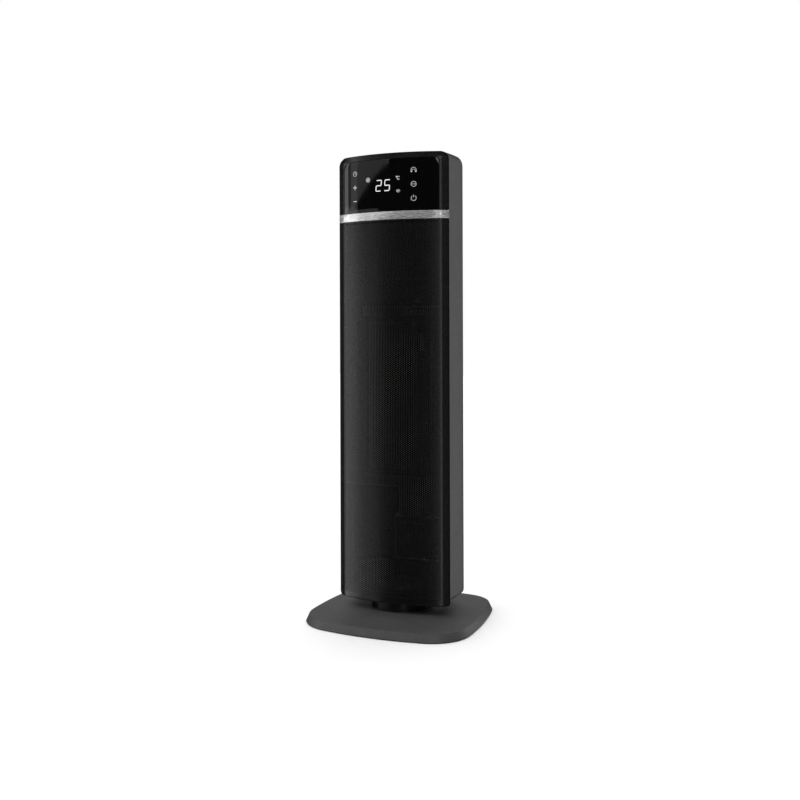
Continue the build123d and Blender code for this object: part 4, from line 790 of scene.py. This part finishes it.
# ---------------------------------------------------------------- materials
class Paint:
    """A Principled material with helpers for procedural detail, in metres of object coordinates."""

    def __init__(self, name, colour, roughness, metallic=0.0):
        self.material = bpy.data.materials.new(name)
        self.material.use_nodes = True
        self.tree = self.material.node_tree
        self.shader = self.tree.nodes["Principled BSDF"]
        self.colour = colour
        self.shader.inputs["Base Color"].default_value = (*colour, 1)
        self.shader.inputs["Roughness"].default_value = roughness
        self.shader.inputs["Metallic"].default_value = metallic
        self.place = self.tree.nodes.new("ShaderNodeTexCoord")
        self.normal = None

    def link(self, a, b):
        self.tree.links.new(a, b)

    def texture(self, kind, sizes):
        """A texture node whose pattern is about the sizes given along X, Y and Z."""
        mapping = self.tree.nodes.new("ShaderNodeMapping")
        mapping.inputs["Scale"].default_value = [1 / size for size in sizes]
        self.link(self.place.outputs["Object"], mapping.inputs["Vector"])
        node = self.tree.nodes.new(kind)
        node.inputs["Scale"].default_value = 1.0
        self.link(mapping.outputs["Vector"], node.inputs["Vector"])
        return node

    def noise(self, size, detail=3.0, stretch=(1, 1, 1)):
        """Noise with features of about a size; stretch lengthens them along X, Y or Z."""
        node = self.texture("ShaderNodeTexNoise", [size * s for s in stretch])
        node.inputs["Detail"].default_value = detail
        node.inputs["Roughness"].default_value = 0.5
        return node.outputs["Fac"]

    def cells(self, size, feature="F1"):
        """Voronoi distance with cells of about a size."""
        node = self.texture("ShaderNodeTexVoronoi", [size] * 3)
        node.feature = feature
        return node.outputs["Distance"]

    def weave(self, size, axis):
        """Parallel threads with a pitch of a size, across an axis."""
        node = self.texture("ShaderNodeTexWave", [size] * 3)
        node.bands_direction = axis
        node.inputs["Scale"].default_value = math.pi / 10
        node.inputs["Distortion"].default_value = 0.0
        return node.outputs["Fac"]

    def span(self, value, low, high, start=0.3, stop=0.7):
        """The value spread between two limits."""
        node = self.tree.nodes.new("ShaderNodeMapRange")
        for name, number in (("From Min", start), ("From Max", stop), ("To Min", low), ("To Max", high)):
            node.inputs[name].default_value = number
        self.link(value, node.inputs["Value"])
        return node.outputs["Result"]

    def tint(self, value, other, start=0.35, stop=0.65):
        """Colour goes from the main one to another with the value."""
        node = self.tree.nodes.new("ShaderNodeMix")
        node.data_type = "RGBA"
        node.inputs[6].default_value = (*self.colour, 1)
        node.inputs[7].default_value = (*other, 1)
        self.link(self.span(value, 0, 1, start, stop), node.inputs[0])
        self.link(node.outputs[2], self.shader.inputs["Base Color"])
        return self

    def shine(self, value, low, high):
        """Roughness follows the value."""
        self.link(self.span(value, low, high), self.shader.inputs["Roughness"])
        return self

    def bump(self, value, height, strength=1.0):
        """Relief of a height in metres; later calls add to earlier ones."""
        node = self.tree.nodes.new("ShaderNodeBump")
        node.inputs["Strength"].default_value = strength
        node.inputs["Distance"].default_value = height
        self.link(value, node.inputs["Height"])
        if self.normal:
            self.link(self.normal, node.inputs["Normal"])
        self.normal = node.outputs["Normal"]
        self.link(self.normal, self.shader.inputs["Normal"])
        return self

    def set(self, **values):
        """Plain values for the shader's own sockets."""
        for name, number in values.items():
            self.shader.inputs[name.replace("_", " ").title()].default_value = number
        return self


def grey(level, warm=0.0):
    """A grey, a little warmer where warm is above 0."""
    return (level * (1 + warm), level, level * (1 - warm))


def scaled(colour, factor):
    return tuple(c * factor for c in colour)


def moulded(name, colour, roughness, grain=0.32 * MM, depth=0.018 * MM):
    """Moulded plastic with a fine eroded grain."""
    paint = Paint(name, colour, roughness)
    paint.tint(paint.noise(38 * MM, 4), scaled(colour, 1.12))
    paint.shine(paint.noise(2.4 * MM, 5), roughness - 0.05, roughness + 0.06)
    paint.bump(paint.noise(grain, 2), depth, 0.8)
    paint.bump(paint.noise(11 * MM, 2), 0.05 * MM, 0.12)
    return paint


def glossy(name, colour, roughness):
    """Polished plastic with a faint orange peel and slight smears."""
    paint = Paint(name, colour, roughness)
    paint.tint(paint.noise(30 * MM, 3), scaled(colour, 1.3))
    paint.shine(paint.noise(24 * MM, 5, (1, 1, 2.2)), roughness, roughness + 0.035)
    paint.bump(paint.noise(6 * MM, 1), 0.02 * MM, 0.05)
    return paint


def metal(name, colour, roughness, brushed=(1, 1, 1), size=0.25 * MM, spread=0.14, depth=0.006 * MM):
    """Metal with fine scratches, longer along one axis where it is brushed."""
    paint = Paint(name, colour, roughness, 1.0)
    paint.tint(paint.noise(9 * MM, 5, brushed), scaled(colour, 1 - spread))
    paint.shine(paint.noise(size * 2.5, 5, brushed), roughness - 0.05, roughness + 0.07)
    paint.bump(paint.noise(size, 3, brushed), depth, 0.6)
    return paint


def powder_coat(name, colour, roughness):
    """Satin paint on sheet metal, with the soft dimples of a powder coat."""
    paint = Paint(name, colour, roughness)
    paint.tint(paint.noise(26 * MM, 4), scaled(colour, 1.18))
    paint.shine(paint.noise(1.6 * MM, 4), roughness - 0.05, roughness + 0.06)
    paint.bump(paint.noise(0.42 * MM, 2), 0.008 * MM, 0.5)
    return paint


def rubber(name, colour):
    paint = Paint(name, colour, 0.82)
    paint.tint(paint.noise(3 * MM, 5), scaled(colour, 1.5))
    paint.shine(paint.noise(1.2 * MM, 4), 0.74, 0.9)
    paint.bump(paint.noise(0.3 * MM, 3), 0.03 * MM, 0.7)
    return paint


def galvanised(name):
    """Zinc spangle: flat crystals of slightly different brightness."""
    paint = Paint(name, grey(0.42), 0.42, 1.0)
    paint.tint(paint.cells(6 * MM), grey(0.56), 0.1, 0.9)
    paint.shine(paint.cells(4 * MM), 0.34, 0.5)
    paint.bump(paint.noise(0.8 * MM, 4), 0.01 * MM, 0.4)
    return paint


def ceramic(name):
    paint = Paint(name, (0.30, 0.24, 0.19), 0.85)
    paint.tint(paint.noise(1.1 * MM, 6), (0.19, 0.15, 0.12))
    paint.shine(paint.noise(0.8 * MM, 4), 0.78, 0.92)
    paint.bump(paint.cells(0.5 * MM), 0.04 * MM, 0.6)
    return paint


def circuit_board(name):
    """Solder mask over copper tracks."""
    paint = Paint(name, (0.010, 0.075, 0.026), 0.38)
    paint.tint(paint.cells(3.2 * MM, "DISTANCE_TO_EDGE"), (0.020, 0.15, 0.05), 0.05, 0.09)
    paint.shine(paint.noise(5 * MM, 4), 0.3, 0.46)
    paint.bump(paint.cells(3.2 * MM, "DISTANCE_TO_EDGE"), 0.03 * MM, 0.5)
    return paint


def components(name):
    paint = moulded(name, grey(0.022), 0.5, 0.4 * MM)
    paint.tint(paint.cells(7 * MM), grey(0.05, 0.15), 0.2, 0.8)
    return paint


def nylon_mesh(name):
    """Fine woven nylon: threads both ways."""
    paint = Paint(name, grey(0.012), 0.6)
    paint.tint(paint.weave(0.7 * MM, "X"), grey(0.06), 0.2, 0.8)
    paint.shine(paint.noise(1.5 * MM, 4), 0.5, 0.7)
    paint.bump(paint.weave(0.7 * MM, "X"), 0.15 * MM, 0.8)
    paint.bump(paint.weave(0.7 * MM, "Z"), 0.15 * MM, 0.8)
    return paint


def lit(name, strength, colour=(1.0, 0.98, 0.95)):
    """A printed symbol lit from behind, a little uneven."""
    paint = Paint(name, grey(0.35), 0.4)
    paint.tint(paint.noise(1.5 * MM, 3), grey(0.45))
    paint.shader.inputs["Emission Color"].default_value = (*colour, 1)
    paint.link(paint.span(paint.noise(2.5 * MM, 3), strength * 0.86, strength * 1.1),
               paint.shader.inputs["Emission Strength"])
    return paint


LAMINATED = (8, 8, 0.12)
TURNED = (6, 6, 0.4)

finishes = {
    "base_plastic": moulded("base_plastic", grey(0.055), 0.42, depth=0.008 * MM),
    "shell_plastic": moulded("shell_plastic", grey(0.047), 0.46, depth=0.008 * MM),
    "cover_plastic": moulded("cover_plastic", grey(0.005), 0.22, depth=0.002 * MM),
    "panel_gloss": glossy("panel_gloss", grey(0.0015), 0.03),
    "band_metal": metal("band_metal", grey(0.8), 0.25, (30, 30, 1), 0.12 * MM, 0.02, 0.0003 * MM).set(
        metallic=0.72, anisotropic=0.9, anisotropic_rotation=0.25),
    "grille_metal": powder_coat("grille_metal", grey(0.0055), 0.26),
    "rubber": rubber("rubber", grey(0.018)),
    "gland_rubber": rubber("gland_rubber", grey(0.014)),
    "steel": metal("steel", grey(0.55), 0.38),
    "screw_steel": metal("screw_steel", grey(0.42), 0.34, TURNED),
    "white_plastic": moulded("white_plastic", (0.70, 0.69, 0.64), 0.42),
    "tilt_plastic": moulded("tilt_plastic", grey(0.07), 0.5),
    "weight_brass": metal("weight_brass", (0.62, 0.44, 0.17), 0.3, TURNED),
    "motor_steel": metal("motor_steel", grey(0.5), 0.36, TURNED),
    "rotor_iron": metal("rotor_iron", grey(0.2), 0.55, LAMINATED),
    "aluminium": metal("aluminium", grey(0.6), 0.4, (1, 1, 20)),
    "ceramic": ceramic("ceramic"),
    "heater_resin": moulded("heater_resin", grey(0.03), 0.6),
    "brass": metal("brass", (0.66, 0.47, 0.2), 0.36),
    "cutoff": metal("cutoff", grey(0.58), 0.32, TURNED),
    "galvanised": galvanised("galvanised"),
    "fan_metal": metal("fan_metal", grey(0.5), 0.4, (1, 1, 30)),
    "bush_bronze": metal("bush_bronze", (0.42, 0.27, 0.13), 0.5),
    "board_green": circuit_board("board_green"),
    "parts_black": components("parts_black"),
    "spring_steel": metal("spring_steel", grey(0.56), 0.3),
    "digit_module": moulded("digit_module", grey(0.03), 0.35),
    "lamp_clear": moulded("lamp_clear", grey(0.6), 0.4),
    "filter_nylon": nylon_mesh("filter_nylon"),
    "key_black": moulded("key_black", grey(0.008), 0.3, depth=0.008 * MM),
}
SYMBOL_LIGHT = 0.46
DIGIT_LIGHT = 0.62
symbol_paint = lit("lit_symbols", SYMBOL_LIGHT)
digit_paint = lit("lit_digits", DIGIT_LIGHT)

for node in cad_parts.values():
    for place, old in enumerate(node.data.materials):
        node.material_slots[place].material = finishes[old.name.split(".")[0]].material

painted = [
    (make_frame(), finishes["cover_plastic"]),
    (make_band(), finishes["band_metal"]),
    (make_panel(), finishes["panel_gloss"]),
    (make_key_symbols(), symbol_paint),
    (make_digits(), digit_paint),
    (make_lamp_symbols(), symbol_paint),
    (make_shell(), finishes["shell_plastic"]),
    (make_pocket(), finishes["shell_plastic"]),
]
painted += [(part, finishes["grille_metal"]) for part in make_grille()]
for piece, paint in painted:
    piece.data.materials.append(paint.material)

# ---------------------------------------------------------------- floor, backdrop and light
FLOOR_HALF = 6.0
floor_mesh = bpy.data.meshes.new("floor")
corners = [(x * FLOOR_HALF, y * FLOOR_HALF, 0) for x, y in ((-1, -1), (1, -1), (1, 1), (-1, 1))]
floor_mesh.from_pydata(corners, [], [(0, 1, 2, 3)])
floor = bpy.data.objects.new("floor", floor_mesh)
scene.collection.objects.link(floor)
floor_paint = Paint("studio_floor", grey(0.88), 0.9)
floor_paint.shader.inputs["Specular IOR Level"].default_value = 0.0
floor_mesh.materials.append(floor_paint.material)


def make_world(seen, mirrored, felt):
    """A backdrop that is white to look at, dark in reflections and dim as a light."""
    world = bpy.data.worlds.new("studio")
    world.use_nodes = True
    tree = world.node_tree
    path = tree.nodes.new("ShaderNodeLightPath")
    unseen = tree.nodes.new("ShaderNodeMapRange")
    unseen.inputs["To Min"].default_value = felt
    unseen.inputs["To Max"].default_value = mirrored
    strength = tree.nodes.new("ShaderNodeMapRange")
    strength.inputs["To Max"].default_value = seen
    tree.links.new(path.outputs["Is Glossy Ray"], unseen.inputs["Value"])
    tree.links.new(path.outputs["Is Camera Ray"], strength.inputs["Value"])
    tree.links.new(unseen.outputs["Result"], strength.inputs["To Min"])
    tree.links.new(strength.outputs["Result"], tree.nodes["Background"].inputs["Strength"])
    tree.nodes["Background"].inputs["Color"].default_value = (1, 1, 1, 1)
    scene.world = world


def softbox(name, azimuth, distance, low, high, wide, radiance, roll=0, start=(0, 0)):
    """An upright light seen only in reflections, facing start. Azimuth 0 is in front, 90 on the right."""
    data = bpy.data.lights.new(name, "AREA")
    data.shape = "RECTANGLE"
    data.size = wide
    data.size_y = high - low
    data.energy = radiance * wide * (high - low) * 4
    light = bpy.data.objects.new(name, data)
    turn = math.radians(azimuth)
    side = Vector((math.sin(turn), -math.cos(turn), 0))
    light.location = Vector((*start, (low + high) / 2)) + distance * side
    facing = (-side).to_track_quat("-Z", "Y").to_matrix()
    light.rotation_euler = (facing @ Matrix.Rotation(math.radians(roll), 3, "Z")).to_euler()
    light.visible_camera = False
    light.visible_diffuse = False
    scene.collection.objects.link(light)


def skylight(strength, spread, source):
    """A very wide sun from high up, for even light on the floor and soft contact shadows."""
    data = bpy.data.lights.new("skylight", "SUN")
    data.energy = strength
    data.angle = math.radians(spread)
    light = bpy.data.objects.new("skylight", data)
    light.location = (0, 0, 3)
    light.rotation_euler = Vector(source).to_track_quat("Z", "Y").to_euler()
    light.visible_glossy = False
    scene.collection.objects.link(light)


floor.visible_glossy = False
floor.visible_shadow = False
make_world(seen=1.0, mirrored=0.015, felt=0.14)
skylight(strength=4.05, spread=126, source=(-0.32, 0.2, 1))
LEFT_EDGE = (-0.065, -0.036)
RIGHT_EDGE = (0.069, -0.035)
# name, azimuth, distance, foot, top, width and radiance, then any roll and the point it faces
softbox("left_low_softbox", -42, 2.2, 0.90, 1.40, 1.6, 0.4, 7)
softbox("left_high_softbox", -42, 2.2, 1.40, 2.4, 1.6, 0.8)
softbox("far_left_softbox", -70, 2.4, -1.2, 2.6, 0.42, 1.1, 0, LEFT_EDGE)
softbox("left_low_glow", -64, 2.5, -1.2, 0.86, 0.9, 0.7, 0, LEFT_EDGE)
softbox("left_high_glow", -62, 2.5, 0.86, 2.0, 0.7, 0.25, 0, LEFT_EDGE)
softbox("left_foot_softbox", -48, 2.2, -1.2, 0.72, 1.25, 0.42)
softbox("front_high_softbox", -6, 2.4, 1.7, 3.0, 1.2, 0.3)
softbox("edge_strip_low", 27.5, 2.6, -1.2, 1.3, 0.42, 1.0, 0, RIGHT_EDGE)
softbox("edge_strip_high", 27.5, 2.6, 1.3, 2.8, 0.42, 2.0, 0, RIGHT_EDGE)
softbox("right_softbox", 140, 2.6, -1.4, 2.2, 1.6, 0.75)
softbox("back_softbox", 205, 2.6, 0.3, 1.8, 2.6, 0.16)

# ---------------------------------------------------------------- camera
VIEW_AZIMUTH = math.radians(22.92)
VIEW_DISTANCE = 1.3692
VIEW_HEIGHT = 0.4038
VIEW_ASIDE = 0.00185
VIEW_ROLL = -0.003
VIEW_SENSOR = 36
VIEW_LENS = 44.48
VIEW_SHIFT = -0.0949
camera_data = bpy.data.cameras.new("camera")
camera_data.sensor_width = VIEW_SENSOR
camera_data.lens = VIEW_LENS
camera_data.shift_y = VIEW_SHIFT
camera = bpy.data.objects.new("camera", camera_data)
sine, cosine = math.sin(VIEW_AZIMUTH), math.cos(VIEW_AZIMUTH)
camera.location = (VIEW_DISTANCE * sine - VIEW_ASIDE * cosine,
                   -VIEW_DISTANCE * cosine - VIEW_ASIDE * sine, VIEW_HEIGHT)
level = Matrix.Rotation(VIEW_AZIMUTH, 3, "Z") @ Matrix.Rotation(math.radians(90), 3, "X")
camera.rotation_euler = (level @ Matrix.Rotation(VIEW_ROLL, 3, "Z")).to_euler()
scene.collection.objects.link(camera)
scene.camera = camera
scene.view_settings.view_transform = "Standard"
